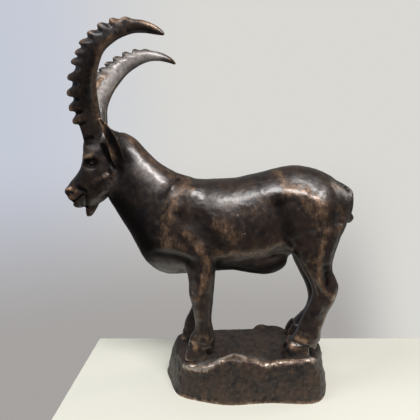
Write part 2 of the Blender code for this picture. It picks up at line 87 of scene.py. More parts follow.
# Fineness of the modelling
SOFT_VOXEL = 2.2
SOFT_REACH = 5.5  # how far the soft masses run into each other
BLEND_REACH = 3.6  # and the limbs, head and tail into them
FINISH_REACH = 1.1
RING_POINTS = 40
FINE_VOXEL = 0.62
ROCK_VOXEL = 0.8
IBEX_TRIANGLES = 190000
ROCK_TRIANGLES = 90000
BLEND_LEVELS = 10  # steps in which a blending weight is stored
FINE_ROUNDS = 4  # of averaging with the neighbours, to find fine ridges and hollows
BROAD_ROUNDS = 26  # and broad ones
DENTS = ((0.3, 15, 1), (0.19, 6, 2), (0.1, 2.4, 3))  # height, size, seed; all over the cast

# Noise in the bronze, in cells a metre
GRAIN_SCALE = 1400
HAIR_SCALE = 900
SPECK_SCALE = 520

# The table top's corners in millimetres, the room's walls and its light
TABLE_LOW = (-128, -95, -40)
TABLE_HIGH = (700, 88, 0)
TABLE_BEVEL = 1.5
TABLE_COLOUR = (0.84, 0.82, 0.71)
WALL_LEFT = (0.56, 0.59, 0.68, 1)
WALL_RIGHT = (0.7, 0.69, 0.655, 1)
WALL_LOW = (0.38, 0.365, 0.355, 1)
ROOM_BEHIND_CAMERA = 0.07  # strength of the walls in reflections
ROOM_BEYOND = 0.34
ROOM_LIGHT = 0.3
ROOM_TINT = (0.93, 0.95, 1.0, 1)

# Name, place, target, size, watts, colour; in metres
LAMPS = [("ceiling", (0.2, -0.6, 0.9), (0.02, 0, 0.12), (0.55, 0.16), 9.2, (1, 1, 1)),
         ("right", (0.95, 0.3, 0.6), (0, 0, 0.15), (0.3, 0.5), 1.6, (1.0, 0.95, 0.88)),
         ("left", (-0.45, -0.25, 0.85), (0, 0, 0.2), (0.35, 0.35), 2.0, (0.93, 0.96, 1.0))]
CAMERA_PLACE = (0, -0.35, 0.212)
CAMERA_DOWN = 8.11  # degrees that the camera looks down
CAMERA_LENS = 34.286
CAMERA_SENSOR = 36


def spline(rows, steps):
    """Points on a Catmull-Rom curve through the rows."""
    rows = np.asarray(rows, float)
    ends = np.vstack([2 * rows[0] - rows[1], rows, 2 * rows[-1] - rows[-2]])
    spans = len(rows) - 1
    places = np.linspace(0, spans, spans * steps + 1)
    index = np.minimum(places.astype(int), spans - 1)
    t = (places - index)[:, None]
    a, b, c, d = (ends[index + k] for k in range(4))
    return 0.5 * (2 * b + (c - a) * t + (2 * a - 5 * b + 4 * c - d) * t ** 2
                  + (3 * b - a - 3 * c + d) * t ** 3)


def unit(vectors):
    return vectors / np.maximum(np.linalg.norm(vectors, axis=-1, keepdims=True), 1e-9)


def tube_rings(rows, steps=6, fullness=2.2, egg=0.0, cup=0.0, ends=(0.6, 0.6), relief=None):
    """Rings of points around a tube.

    A row is (front x, front h, back x, back h, y, half width) and may end with a lean, by which
    the front point lies at a larger y than the back point. The tube's section reaches from the
    front point to the back point and half a width to each side. fullness 2 is an ellipse and
    more is boxier, egg above 0 puts the widest place nearer the front, and cup bends a thin
    section into a hollow leaf. relief(length along the tube, along, outer) gives how far each
    point of a ring is lifted to the front and how far it is sunk into the side.
    """
    curve = spline([(*row, 0)[:7] for row in rows], steps)
    lean = curve[:, 6] / 2
    front = np.column_stack([curve[:, 0], curve[:, 4] + lean, curve[:, 1] + BASE_HEIGHT])
    back = np.column_stack([curve[:, 2], curve[:, 4] - lean, curve[:, 3] + BASE_HEIGHT])
    width = curve[:, 5]
    centre = (front + back) / 2
    half = (front - back) / 2
    run = np.gradient(centre, axis=0)
    side = unit(np.cross(run, half))
    ahead = unit(run)
    angle = np.arange(RING_POINTS) * 2 * math.pi / RING_POINTS
    across = np.abs(np.sin(angle)) ** (2 / fullness) * np.sign(np.sin(angle))
    along = np.abs(np.cos(angle)) ** (2 / fullness) * np.sign(np.cos(angle))
    across = across * (1 + egg * along)
    length = np.concatenate([[0], np.cumsum(np.linalg.norm(np.diff(centre, axis=0), axis=1))])
    rings = []
    for i in range(len(centre)):
        bend = cup * (along ** 2 - 0.5) * min(1.0, width[i] / 1.5)
        ring = (centre[i] + np.outer(along, half[i])
                + np.outer(across * width[i] + bend, side[i]))
        if relief is not None:
            lift, sink = relief(length[i], along, -np.sign(rows[0][4]) * across)
            ring = ring + np.outer(lift, unit(half[i]))
            ring = ring - np.outer(sink * np.sign(across), side[i])
        rings.append(ring)
    return rounded_ends(rings, centre, ahead, half, width, ends)


def rounded_ends(rings, centre, ahead, half, width, ends):
    """Adds shrinking rings at both ends of a tube, so that it closes in a dome."""
    closed = list(rings)
    for end, sign, bulge in ((0, -1, ends[0]), (-1, 1, ends[1])):
        reach = bulge * min(np.linalg.norm(half[end]), width[end])
        extra = []
        for turn in (30, 55, 75):
            shrink = math.cos(math.radians(turn))
            push = math.sin(math.radians(turn)) * reach * sign * ahead[end]
            extra.append(centre[end] + (rings[end] - centre[end]) * shrink + push)
        closed = extra[::-1] + closed if end == 0 else closed + extra
    return closed


def add_rings(bm, rings):
    """A closed skin over rings that all have the same number of points."""
    loops = [[bm.verts.new(Vector(point) * MM) for point in ring] for ring in rings]
    faces = []
    for low, high in zip(loops, loops[1:]):
        for k in range(len(low)):
            after = (k + 1) % len(low)
            faces.append(bm.faces.new((low[k], low[after], high[after], high[k])))
    faces.append(bm.faces.new(loops[0][::-1]))
    faces.append(bm.faces.new(loops[-1]))
    bmesh.ops.recalc_face_normals(bm, faces=faces)


def add_mass(bm, x, h, y, radii, tilt=0.0):
    """A rounded muscle or bone: an ellipsoid, tilted in side view."""
    place = (Matrix.Translation(Vector((x, y, h + BASE_HEIGHT)) * MM)
             @ Matrix.Rotation(math.radians(tilt), 4, 'Y')
             @ Matrix.Diagonal(Vector((*radii, 1000)) * MM))
    ball = bmesh.new()
    bmesh.ops.create_uvsphere(ball, u_segments=24, v_segments=16, radius=1, matrix=place)
    mesh = bpy.data.meshes.new("mass")
    ball.to_mesh(mesh)
    ball.free()
    bm.from_mesh(mesh)
    bpy.data.meshes.remove(mesh)


def add_pair(bm, x, h, y, radii, tilt=0.0):
    """The same mass on both sides of the animal."""
    add_mass(bm, x, h, -y, radii, tilt)
    add_mass(bm, x, h, y, radii, tilt)


def widened(rows, width):
    """Rows with half widths in millimetres, from shares of half a width."""
    return [(*row[:5], row[5] * (width / 2), *row[6:]) for row in rows]


def mirrored(rows):
    return [(*row[:4], -row[4], row[5], *(-lean for lean in row[6:])) for row in rows]


def trunk(bm):
    """Rump, barrel, chest and neck as one tube from the rump to behind the ears."""
    rows = [
        (121, 143, 120, 114, 0, 0.36), (113, 149, 113, 99, 0, 0.66), (101, 157, 100, 88, 0, 0.85),
        (87, 162, 86, 82, 0, 0.93), (72, 164, 71, 86, 0, 0.93), (56, 161, 57, 82, 0, 0.91),
        (40, 157, 41, 78, 0, 0.96), (22, 153, 23, 76, 0, 0.99), (4, 152, 6, 74, 0, 0.99),
        (-10, 152, -8, 70, 0, 0.95), (-22, 154, -25, 67, 0, 0.9), (-34, 160, -42, 68, 0, 0.82),
        (-46, 168, -57, 78, 0, 0.72), (-56, 178, -66, 95, 0, 0.63), (-64, 187, -74, 109, 0, 0.56),
        (-71, 191, -81, 121, 0, 0.5), (-78, 193, -88, 132, 0, 0.44),
    ]
    add_rings(bm, tube_rings(widened(rows, TRUNK_WIDTH), fullness=2.15, egg=-0.08))
    belly = [
        (2, 94, 2, 69.5, 0, 0.62), (18, 94, 18, 71.5, 0, 0.72), (36, 92, 37, 68.5, 0, 0.74),
        (52, 92, 53, 67.5, 0, 0.7), (62, 94, 65, 72, 0, 0.55),
    ]
    add_rings(bm, tube_rings(widened(belly, TRUNK_WIDTH), fullness=2.2, ends=(0.8, 0.5)))


def muscles(bm):
    add_pair(bm, -19, 122, 13, (13, 13, 28), tilt=14)  # shoulder blade
    add_pair(bm, -29, 101, 14, (15, 13, 13), tilt=20)  # point of the shoulder
    add_pair(bm, -10, 94, 16, (13, 13, 17), tilt=-35)  # upper arm
    add_mass(bm, -40, 84, 0, (14, 17, 16), tilt=30)  # brisket
    add_pair(bm, 72, 138, 17, (12, 8.5, 10))  # hip bone
    add_pair(bm, 91, 120, 13, (20, 17, 33), tilt=8)  # thigh
    add_pair(bm, 105, 126, 9, (13, 13, 22), tilt=-6)  # back of the thigh
    add_pair(bm, 88, 96, 16, (15, 12, 20), tilt=15)  # stifle


def head(bm):
    rows = [
        (-82, 193, -78, 160, 0, 0.8), (-92, 198, -82, 148, 0, 0.94),
        (-102, 196, -88, 138, 0, 1), (-107.5, 186, -94, 132, 0, 1),
        (-109, 174, -100, 129, 0, 0.92), (-111.5, 163, -106, 127, 0, 0.78),
        (-116.5, 155, -111, 127, 0, 0.66), (-121.5, 149, -116, 128.5, 0, 0.6),
        (-125, 144, -120.5, 132, 0, 0.52),
    ]
    skull = widened(rows, HEAD_WIDTH)
    add_rings(bm, tube_rings(skull, fullness=2.3, egg=-0.05, ends=(0.6, 0.35)))
    add_pair(bm, -101, 170, 9.5, (6, 4.5, 4), tilt=-20)  # brow over the eye
    add_pair(bm, -90, 150, 8, (9, 6, 13), tilt=35)  # cheek and jaw
    add_pair(bm, -121, 142, 4, (5.5, 4.5, 4), tilt=-40)  # upper lip and nostril
    add_mass(bm, -114, 130.5, 0, (6.5, 6, 4), tilt=-15)  # chin
    add_pair(bm, -100, 164.5, EYE_SPREAD / 2, (EYE_RADIUS,) * 3)  # eyeball


def beard(bm):
    rows = [
        (-110, 132, -96, 134, 0, 1), (-109.5, 127, -98, 129, 0, 1),
        (-109.5, 123, -101, 124, 0, 0.9), (-109, 119.5, -104, 120, 0, 0.7),
    ]
    add_rings(bm, tube_rings(widened(rows, BEARD_WIDTH)))


def ear_rings(lift):
    """The left ear: a leaf, hollow on its outer face."""
    half = EAR_THICKNESS / 2
    root = HEAD_WIDTH / 2 - 3
    lean = EAR_SPREAD - root
    rows = [(-80, 158, -75, 158, -root, 1.6 * half),
            (-80.5, 164, -72, 165, -root - 0.16 * lean, 1.2 * half),
            (-82, 173, -72, 174, -root - 0.4 * lean, half),
            (-84, 184, -75, 185, -root - 0.66 * lean, half),
            (-86.5, 194, -80.5, 195, -root - 0.88 * lean, 0.9 * half),
            (-88.5, 201, -86.5, 201.5, -EAR_SPREAD, 0.6 * half)]
    return tube_rings(rows, cup=lift, ends=(0.3, 0.3))


def ears(bm):
    """The right ear is the left one mirrored and turned down about its root."""
    left = ear_rings(2.4)
    add_rings(bm, left)
    droop = math.radians(EAR_DROOP)
    root = np.array([-78, HEAD_WIDTH / 2 - 3, 158 + BASE_HEIGHT])
    turn = np.array([[1, 0, 0],
                     [0, math.cos(droop), math.sin(droop)],
                     [0, -math.sin(droop), math.cos(droop)]])
    add_rings(bm, [root + (ring * (1, -1, 1) - root) @ turn.T for ring in left])


def knobs(length, along, outer):
    """Relief of the horn's ridges at a length along it: how far the front rises, the side sinks.

    along is 1 on the front edge and -1 on the back edge; outer is 1 on the horn's outer side.
    """
    places = (20.5, 30.5, 41.5, 53.5, 66, 74, 81.5, 88.5, 96, 104, 111.5)
    shares = (0.75, 0.95, 1.0, 1.0, 1.0, 0.8, 0.9, 0.85, 0.8, 0.65, 0.45)
    height = bite = 0.0
    for place, share in zip(places, shares):
        away = length - place
        reach = KNOB_BELOW if away < 0 else KNOB_ABOVE
        height = max(height, share * ramp(abs(away), reach, 0.25 * reach))
        bite = max(bite, share * ramp(abs(away + KNOB_BITE_AT), KNOB_BITE_REACH, 0))
    facing = ramp(along, -0.25, 0.7) * (0.25 + 0.75 * ramp(outer, -0.8, 0.1))
    flank = ramp(outer, 0.2, 0.9) * ramp(along, -0.2, 0.4)
    strip = 0.45 * ramp(along, 0.0, -0.2) * ramp(outer, 0.2, 0.6)
    return KNOB_HEIGHT * height * facing, (KNOB_BITE * bite - 0.5 * height) * flank + strip


def horns(bm):
    """Two horns that curve up, out and back; their front faces turn a little to the middle."""
    rows = [
        (-106, 183, -91, 184, -8.5, 1, 1), (-107.5, 192, -90.5, 198, -9.5, 1, 2),
        (-111, 204, -91, 210, -11, 0.98, 5), (-111.5, 216, -91, 217, -15, 0.96, 8),
        (-109.5, 229, -89.5, 226.5, -23, 0.92, 10), (-103.5, 241, -86, 236, -31, 0.88, 11),
        (-94, 253, -79, 247.5, -40, 0.84, 8.5), (-80, 263, -70, 254.5, -43.5, 0.76, 5),
        (-64, 269, -58, 259.3, -44.5, 0.66, 1), (-50, 269, -47.5, 260, -45.5, 0.56, -3),
        (-39.5, 265, -39, 258.5, -46.5, 0.45, -3), (-32.5, 260, -33.5, 256.8, -48.3, 0.34, 0),
    ]
    rows = widened(rows, HORN_WIDTH)
    for side in (rows, mirrored(rows)):
        add_rings(bm, tube_rings(side, steps=14, fullness=2.4, ends=(0.2, 0.5), relief=knobs))


def leg(bm, rows, side, stance, width):
    """A leg; y and half width in its rows are shares of half the stance and of half its width."""
    placed = [(*row[:4], side * row[4] * stance / 2, row[5] * width / 2) for row in rows]
    add_rings(bm, tube_rings(placed, fullness=2.3, ends=(0.5, 0.3)))


def hoof(bm, toe, heel, side, stance, width, pitch):
    """Two claws with the cleft between them, and two dewclaws above the heel."""
    claw = width / 4 - HOOF_CLEFT / 4 + 0.3
    for half in (-1, 1):
        y = side * stance / 2 + half * (HOOF_CLEFT / 2 + claw)
        turn = half * 0.6
        rows = [(toe + 5.5, 11 + pitch, heel - 1.0, 7.5, y - turn, 0.8 * claw),
                (toe + 2.6, 6.5 + pitch, heel - 0.5, 3.5, y, claw),
                (toe, 0.5 + pitch, heel, -1, y, 1.06 * claw),
                (toe - 0.3, -3, heel - 0.5, -4, y, claw)]
        add_rings(bm, tube_rings(rows, fullness=2.6, ends=(0.3, 0.2)))
        dewclaw = side * stance / 2 + half * 0.24 * width
        add_mass(bm, heel + 3.0, 9.5, dewclaw, (3.2, 2.6, 3.6), tilt=-25)


def forelegs(bm):
    near = [
        (-27, 98, 4, 100, 0.72, 1.25), (-22, 82, 7, 86, 0.84, 1.22),
        (-18.5, 66, 5, 74, 0.95, 1.1), (-18, 55, 4, 61, 1, 0.98), (-15.5, 44, 2.5, 47, 1, 0.95),
        (-14, 36, 1.5, 37, 1, 0.84), (-13, 28, 1.5, 29, 1, 0.76), (-14, 21, 3, 21, 1, 0.8),
        (-17.5, 15, 4.5, 14, 1, 0.94), (-19, 8, 4, 8, 1, 1.0),
    ]
    far = [
        (-27, 98, 4, 100, 0.72, 1.25), (-24, 80, 4, 86, 0.84, 1.22), (-21, 66, 3, 74, 0.95, 1.1),
        (-18, 55, 2, 61, 1, 0.98), (-16, 44, 0, 47, 1, 0.95), (-17, 36, -2, 37, 1, 0.84),
        (-17.5, 28, -2.5, 29, 1, 0.76), (-20.5, 21, -1.5, 21, 1, 0.8),
        (-23.5, 15, 0, 14, 1, 0.94), (-25, 8, -1, 8, 1, 1.0),
    ]
    leg(bm, near, -1, FORE_STANCE, FORELEG_WIDTH)
    leg(bm, far, 1, FORE_STANCE, FORELEG_WIDTH)
    hoof(bm, -21, -2, -1, FORE_STANCE, FORELEG_WIDTH, 0)
    hoof(bm, -27, -7, 1, FORE_STANCE, FORELEG_WIDTH, 0)


def hind_legs(bm):
    near = [
        (70, 106, 114, 113, 0.78, 1.62), (73, 90, 109, 98, 0.88, 1.42),
        (78, 77, 105, 86, 0.96, 1.16), (84, 67, 104, 76, 1, 0.98), (87.5, 59, 107.5, 68, 1, 0.93),
        (88, 52, 110, 60, 1, 0.9), (85.5, 45, 107.5, 50, 1, 0.86), (82, 37, 103, 40, 1, 0.8),
        (79, 30, 99.5, 31, 1, 0.78), (76.5, 23, 97, 22, 1, 0.82), (73.5, 17, 96, 13, 1, 0.92),
        (70, 11, 90, 8, 1, 0.98),
    ]
    far = [
        (70, 106, 114, 113, 0.78, 1.62), (74, 88, 110, 98, 0.88, 1.42),
        (79, 74, 108, 84, 0.96, 1.16), (84.5, 64, 109, 73, 1, 0.98), (89.5, 54, 113, 63, 1, 0.93),
        (93, 45, 116, 53, 1, 0.9), (94.5, 36, 114, 41, 1, 0.84), (93, 29, 112, 31, 1, 0.78),
        (90, 23, 108.5, 22, 1, 0.8), (85, 18, 105, 13, 1, 0.92), (80, 13, 99, 8, 1, 0.98),
    ]
    leg(bm, near, -1, HIND_STANCE, HIND_LEG_WIDTH)
    leg(bm, far, 1, HIND_STANCE, HIND_LEG_WIDTH)
    hoof(bm, 64, 86, -1, HIND_STANCE, HIND_LEG_WIDTH, 2)
    hoof(bm, 74, 95, 1, HIND_STANCE, HIND_LEG_WIDTH, 2)


def tail(bm):
    """A short tuft that hugs the rump."""
    rows = [
        (110, 151, 110, 141, 0, 1), (119, 146, 115, 137, 0, 1), (125.3, 140, 118, 133, 0, 0.92),
        (124.3, 132, 118, 127, 0, 0.72), (123.4, 125, 118, 122, 0, 0.66),
        (127, 118, 120, 116, 0, 0.75), (125, 114, 121, 113.5, 0, 0.5),
    ]
    add_rings(bm, tube_rings(widened(rows, TAIL_WIDTH)))


def rock(bm):
    """The rock: outlines of its foot, waist, rim and top, joined from the bottom up.

    The outlines run around the rock from its front left corner, seen from above. x and y are
    shares of half the length and half the width, and the rim's third number is millimetres
    above or below the top.
    """
    foot = [(-0.82, -0.6), (-0.58, -0.84), (-0.24, -1), (0.21, -0.92), (0.68, -0.95),
            (0.86, -0.71), (0.96, -0.2), (1, 0.33), (0.95, 0.81), (0.47, 0.97),
            (-0.18, 1), (-0.84, 0.92), (-1, 0.55), (-0.93, -0.04)]
    waist = [(-0.76, -0.68), (-0.55, -0.88), (-0.24, -0.98), (0.21, -0.94), (0.68, -0.93),
             (0.83, -0.71), (0.92, -0.2), (0.96, 0.33), (0.91, 0.81), (0.47, 0.97),
             (-0.18, 1), (-0.8, 0.92), (-0.95, 0.57), (-0.87, -0.04)]
    rim = [(-0.69, -0.82, -3), (-0.49, -0.88, -6), (-0.27, -0.9, 4), (0.16, -0.88, -2),
           (0.63, -0.86, 0), (0.75, -0.68, 1), (0.85, -0.2, 0), (0.92, 0.33, -3),
           (0.86, 0.81, -1), (0.47, 0.93, -1), (-0.18, 0.93, -1), (-0.78, 0.86, -3),
           (-0.89, 0.57, -4), (-0.83, -0.06, -6)]
    along = BASE_LENGTH / 2
    out = BASE_WIDTH / 2
    levels = [[(x, y, -BASE_CUT) for x, y in foot],
              [(x, y, 0) for x, y in foot],
              [(x, y, 0.45 * BASE_HEIGHT) for x, y in waist],
              [(x, y, BASE_HEIGHT + h - 2.5) for x, y, h in rim],
              [(0.88 * x, 0.85 * y, BASE_HEIGHT + 0.5 * h) for x, y, h in rim],
              [(0.45 * x, 0.45 * y, BASE_HEIGHT + 0.5) for x, y, h in rim]]
    rings = []
    for level in levels:
        ring = spline(level[-1:] + level + level[:2], 5)[5:-6]
        rings.append(np.column_stack([BASE_CENTRE_X + along * ring[:, 0], out * ring[:, 1],
                                      ring[:, 2]]))
    add_rings(bm, rings)
    add_mass(bm, 52, -1.5, 0.85 * out, (8, 6, 4.6))
    add_mass(bm, 63, -2.5, 0.85 * out, (12, 6, 4))


def blocked_in(forms, skin=None):
    """The forms in one mesh, still as separate overlapping bodies, with a skin to join them to."""
    bm = bmesh.new()
    if skin is not None:
        bm.from_mesh(skin)
    for form in forms:
        form(bm)
    mesh = bpy.data.meshes.new("forms")
    bm.to_mesh(mesh)
    bm.free()
    return mesh


def placed(name, data):
    """A new object in the scene."""
    thing = bpy.data.objects.new(name, data)
    bpy.context.scene.collection.objects.link(thing)
    return thing


def applied(mesh, add_modifiers):
    """A copy of a mesh with the modifiers that add_modifiers puts on its object."""
    worker = placed("worker", mesh)
    add_modifiers(worker)
    evaluated = worker.evaluated_get(bpy.context.evaluated_depsgraph_get())
    result = bpy.data.meshes.new_from_object(evaluated)
    bpy.data.objects.remove(worker)
    return result


def joined(mesh, voxel):
    """The forms joined into one skin by a voxel remesh."""
    def modifiers(worker):
        remesh = worker.modifiers.new("join", 'REMESH')
        remesh.mode = 'VOXEL'
        remesh.voxel_size = voxel * MM
    return applied(mesh, modifiers)


def read(mesh, name):
    values = np.empty(len(mesh.vertices) * 3)
    mesh.vertices.foreach_get(name, values)
    return values.reshape(-1, 3)


def points_of(mesh):
    return read(mesh, "co") / MM


def normals_of(mesh):
    return read(mesh, "normal")


def ramp(values, start, end):
    """0 before start, 1 after end, and a smooth step between; start may be the larger."""
    t = np.clip((values - start) / (end - start), 0, 1)
    return t * t * (3 - 2 * t)


def smoothed(mesh, weights, reach, voxel):
    """Blends the joins over a reach in millimetres, more where the weights are near 1.

    weights holds one for each point, or is one number for all of them.
    """
    def modifiers(worker):
        group = worker.vertex_groups.new(name="blend")
        shares = np.broadcast_to(np.clip(weights, 0, 1), len(mesh.vertices))
        levels = np.round(shares * BLEND_LEVELS).astype(int)
        for level in range(1, BLEND_LEVELS + 1):
            chosen = np.flatnonzero(levels == level).tolist()
            if chosen:
                group.add(chosen, level / BLEND_LEVELS, 'REPLACE')
        smooth = worker.modifiers.new("blend", 'SMOOTH')
        smooth.factor = 0.5
        smooth.iterations = max(1, round(2 * (reach / voxel) ** 2))
        smooth.vertex_group = "blend"
    return applied(mesh, modifiers)


def body_weight(points):
    """How soft each place is: the trunk is soft, the feet, head and horns are crisp."""
    x, y, h = points[:, 0], points[:, 1], points[:, 2] - BASE_HEIGHT
    weight = ramp(h, 48, 84)
    weight = weight * ramp(x, -88, -72)
    weight = weight * (1 - 0.85 * ramp(x, 108, 118) * ramp(np.abs(y), 11, 7))
    near_ear = ramp(x, -66, -72) * ramp(h, 148, 156)
    horn_root = 0.5 * ramp(np.hypot(x + 97, h - 186), 13, 6)
    return weight * (1 - near_ear) + horn_root


def reduced(mesh, triangles):
    """The mesh thinned to a number of triangles, with the most left where it curves most."""
    def modifiers(worker):
        mesh.calc_loop_triangles()
        thin = worker.modifiers.new("thin", 'DECIMATE')
        thin.ratio = min(1.0, triangles / len(mesh.loop_triangles))
        thin.use_collapse_triangulate = True
    return applied(mesh, modifiers)


def cut_flat(mesh):
    """Cuts the rock's underside flat at height zero."""
    bm = bmesh.new()
    bm.from_mesh(mesh)
    cut = bmesh.ops.bisect_plane(bm, geom=bm.verts[:] + bm.edges[:] + bm.faces[:],
                                 plane_co=(0, 0, 0), plane_no=(0, 0, -1), clear_outer=True)
    rim = [item for item in cut["geom_cut"] if isinstance(item, bmesh.types.BMEdge)]
    bmesh.ops.contextual_create(bm, geom=rim)
    for edge in rim:
        edge.smooth = False
    bmesh.ops.recalc_face_normals(bm, faces=bm.faces[:])
    bm.to_mesh(mesh)
    bm.free()
    return mesh


def line_mask(places, line, half_width):
    """1 on a line of straight pieces, in a plane or in space, fading to 0 at a half width."""
    nearest = np.full(len(places), np.inf)
    for a, b in zip(line, line[1:]):
        t = np.clip(((places - a) @ (b - a)) / ((b - a) @ (b - a)), 0, 1)
        nearest = np.minimum(nearest, np.linalg.norm(places - a - t[:, None] * (b - a), axis=1))
    return np.clip(1 - (nearest / half_width) ** 2, 0, 1) ** 2


def flank_mask(points, normals, line, half_width, side=0):
    """The mask of a line drawn in side view (x, h), on both flanks or one."""
    line = np.asarray(line, float) + (0, BASE_HEIGHT)
    flank = np.sign(points[:, 1]) if side == 0 else side
    outward = ramp(normals[:, 1] * flank, 0.05, 0.5) * (points[:, 1] * flank > 0)
    return line_mask(points[:, [0, 2]], line, half_width) * outward


def space_mask(points, line, half_width, side=0):
    """The mask of a line through space (x, y, h).

    A line for both sides is drawn on the left, where y is negative, and mirrored.
    """
    line = np.asarray(line, float) + (0, 0, BASE_HEIGHT)
    places = points.copy()
    if side == 0:
        places[:, 1] = -np.abs(places[:, 1])
    return line_mask(places, line, half_width)


def mask_of(points, normals, line, half_width, side=0):
    """Lines with two numbers a point are drawn in side view, and those with three in space."""
    if len(line[0]) == 2:
        return flank_mask(points, normals, line, half_width, side)
    return space_mask(points, line, half_width, side)


def to_right(line, shifts):
    """A left leg's line moved to the right leg, whose joints lie at other places."""
    heights, offsets = zip(*shifts)
    return [(x + float(np.interp(h, heights, offsets)), h) for x, h in line]


def both_legs(strokes, shifts):
    """Strokes for the left leg, and the same strokes where the right leg has them."""
    left = [(line, *rest, -1) for line, *rest in strokes]
    right = [(to_right(line, shifts), *rest, 1) for line, *rest in strokes]
    return left + right


def dots(places, width, amount):
    """Strokes so short that each is a dot."""
    return [([(x, h), (x + 0.1, h)], width, amount) for x, h in places]


FORE_SHIFT = [(8, -6), (21, -6.5), (28, -4.5), (36, -3), (44, -0.5), (55, 0), (66, -2.5), (80, -2)]
HIND_SHIFT = [(8, 9), (13, 10), (23, 13), (29, 14), (36, 12), (45, 8), (54, 3), (64, 2), (80, 1)]

# Lines that are both carved and painted
SHOULDER_CREASE = [(-27, 153), (-33, 145), (-38, 136)]
BEHIND_BLADE = [(-25, 123), (-18, 113), (-12, 104)]
BEHIND_JAW = [(-82, 141), (-77, 150), (-75, 160)]
CHIN_CORNER = [(-105.6, 138), (-106.6, 133), (-107.6, 127)]
UNDER_HORN = [(-109, 187), (-103, 185), (-98, 186)]

# Each stroke: line, half width, height, and -1 for left or 1 for right alone
BODY_STROKES = [
    ([(-26, 152), (-35, 141), (-42, 126), (-47, 110)], 9, -1.7),  # before the shoulder
    ([(-19, 151), (-28, 136), (-34, 116), (-37, 102)], 8, 1.0),  # shoulder blade edge
    (SHOULDER_CREASE, 3.0, -0.3),  # its sharper top
    ([(-20, 109), (-9, 96), (-3, 85), (-2, 76), (-5, 62)], 8, 1.2),  # upper arm ridge
    ([(-10, 120), (-1, 109), (8, 98)], 11, -2.0),  # behind the shoulder
    (BEHIND_BLADE, 8, -0.7),
    ([(-46, 98), (-32, 98), (-20, 95), (-11, 87)], 8, 0.7),  # lower shoulder edge
    ([(-46, 88), (-31, 87), (-20, 84), (-14, 78)], 8, -1.1),
    ([(6, 93), (30, 91), (48, 93), (62, 102)], 9, 0.5),  # edge of the flank
    ([(10, 81), (30, 79), (48, 81), (60, 90)], 8, -0.6),
    ([(58, 130), (61, 120), (65, 110), (69, 102)], 12, -2.2),  # before the thigh
    ([(63, 105), (67, 99), (71, 94)], 3.5, -0.8),  # flank fold
    ([(48, 142), (70, 142), (94, 130)], 10, 0.6),  # edge of the hip
    ([(64, 142), (78, 139), (90, 131)], 7, 0.6),
    ([(66, 153), (80, 150), (94, 143)], 9, -0.6),
    ([(-74, 179), (-62, 171), (-48, 159), (-35, 147)], 8, 0.5),  # side of the neck
    ([(-52, 161), (-45, 154), (-37, 147)], 11, 1.1),
    ([(73, 94), (80, 82), (86, 70), (90, 58)], 4, 0.6),  # shin
    ([(92, 100), (90, 84), (91, 70), (96, 60), (103, 54)], 4, 0.8),  # above the hock
    ([(-15, 61.5), (-14.8, 58)], 2.2, 0.8, -1),  # wart above the knee
    ([(96, 80), (98, 66)], 5.2, -0.9),
    ([(97.5, 74), (99.5, 63)], 4.2, -0.9),
]
HEAD_STROKES = [
    ([(-102, 165), (-98.5, 165.2)], 6.8, -2.6),  # eye socket
    ([(-104, 165.6), (-102, 167.4), (-99, 167.8), (-96.4, 166)], 1.5, 0.7),
    ([(-103.5, 163.7), (-101, 162.6), (-98.5, 162.6), (-96, 163.8)], 1.5, 0.4),
    ([(-106, 171), (-101, 172.4), (-95, 170.5)], 3.4, 0.6),  # brow
    ([(-99, 176), (-93, 178)], 7.0, 0.7),  # forehead bump
    ([(-98, 148), (-94, 151), (-88, 154), (-81, 157)], 4.2, 0.6),  # cheek bone
    ([(-98, 143), (-91, 146.5), (-85, 149.5)], 5.0, -0.5),
    (BEHIND_JAW, 5.0, -1.1),
    ([(-118, 132.6), (-115, 134.2), (-111, 137.3), (-108.5, 138.6)], 1.5, -1.3),  # mouth
    (CHIN_CORNER, 2.1, -0.9),
    ([(-112, 144), (-107, 141.5)], 3.6, -1.2),  # behind the upper lip
    ([(-124.5, 140.5), (-121, 140.8), (-118, 139.6)], 1.6, -0.8),  # nostril
    ([(-89, 180), (-86, 172), (-83, 166), (-81, 162)], 2.8, -1.3),  # before the ear
    (UNDER_HORN, 3.4, -1.2),
]
HEAD_PITS = [(-83, 152), (-86, 148), (-88, 144)]
FORELEG_STROKES = [
    ([(-14, 65), (-14.2, 61)], 3.4, 0.6),  # knee cap
    ([(-7, 72), (-8, 62), (-6, 52)], 3.2, 0.5),  # forearm ridge
    ([(-16, 54), (-11, 51), (-6, 49)], 3.4, 0.35),
    ([(-4, 48), (-3.5, 36), (-3, 26)], 3.4, -0.45),  # tendon groove
    ([(-9, 44), (-8.5, 34), (-8.5, 24)], 2.8, 0.35),
    ([(-16, 18), (-9, 16.5), (-3, 17)], 3.2, 0.4),  # fetlock
    ([(-18, 11.5), (-10, 12), (-4, 11)], 1.8, -0.45),  # coronet
]
HIND_LEG_STROKES = [
    ([(86, 86), (88, 76), (92, 66), (96, 60)], 3.4, 0.5),  # shin
    ([(101, 60), (100, 50), (97, 40), (94, 30)], 3.6, -0.45),  # tendon groove
    ([(95, 56), (94, 46), (90, 36)], 3.0, 0.4),
    ([(78, 20), (84, 17.5), (90, 17)], 3.2, 0.6),  # fetlock
    ([(71, 12.5), (78, 12), (84, 10.5)], 1.8, -0.6),  # coronet
]
SPACE_STROKES = [
    ([(-113, -5, 131), (-109, -7, 137)], 1.6, -0.9),
    ([(-108, -2.5, 131), (-107, -2, 121)], 1.0, -0.8),  # beard locks
    ([(-103, -2.8, 131), (-104.5, -2.2, 121)], 1.0, -0.8),
    ([(-24, -4, 155), (-18, -6, 154)], 7, 1.2),  # withers
    ([(127, -3, 139), (127, -2, 130), (127, -3, 120)], 1.4, -0.8),  # tail locks
    ([(124, -6, 141), (124, -5, 128), (124, -4, 118)], 1.2, -0.7),
    ([(117, -6, 144), (120.5, -5, 131), (118.5, -5, 117)], 2.8, -1.1),  # beside the tail
]

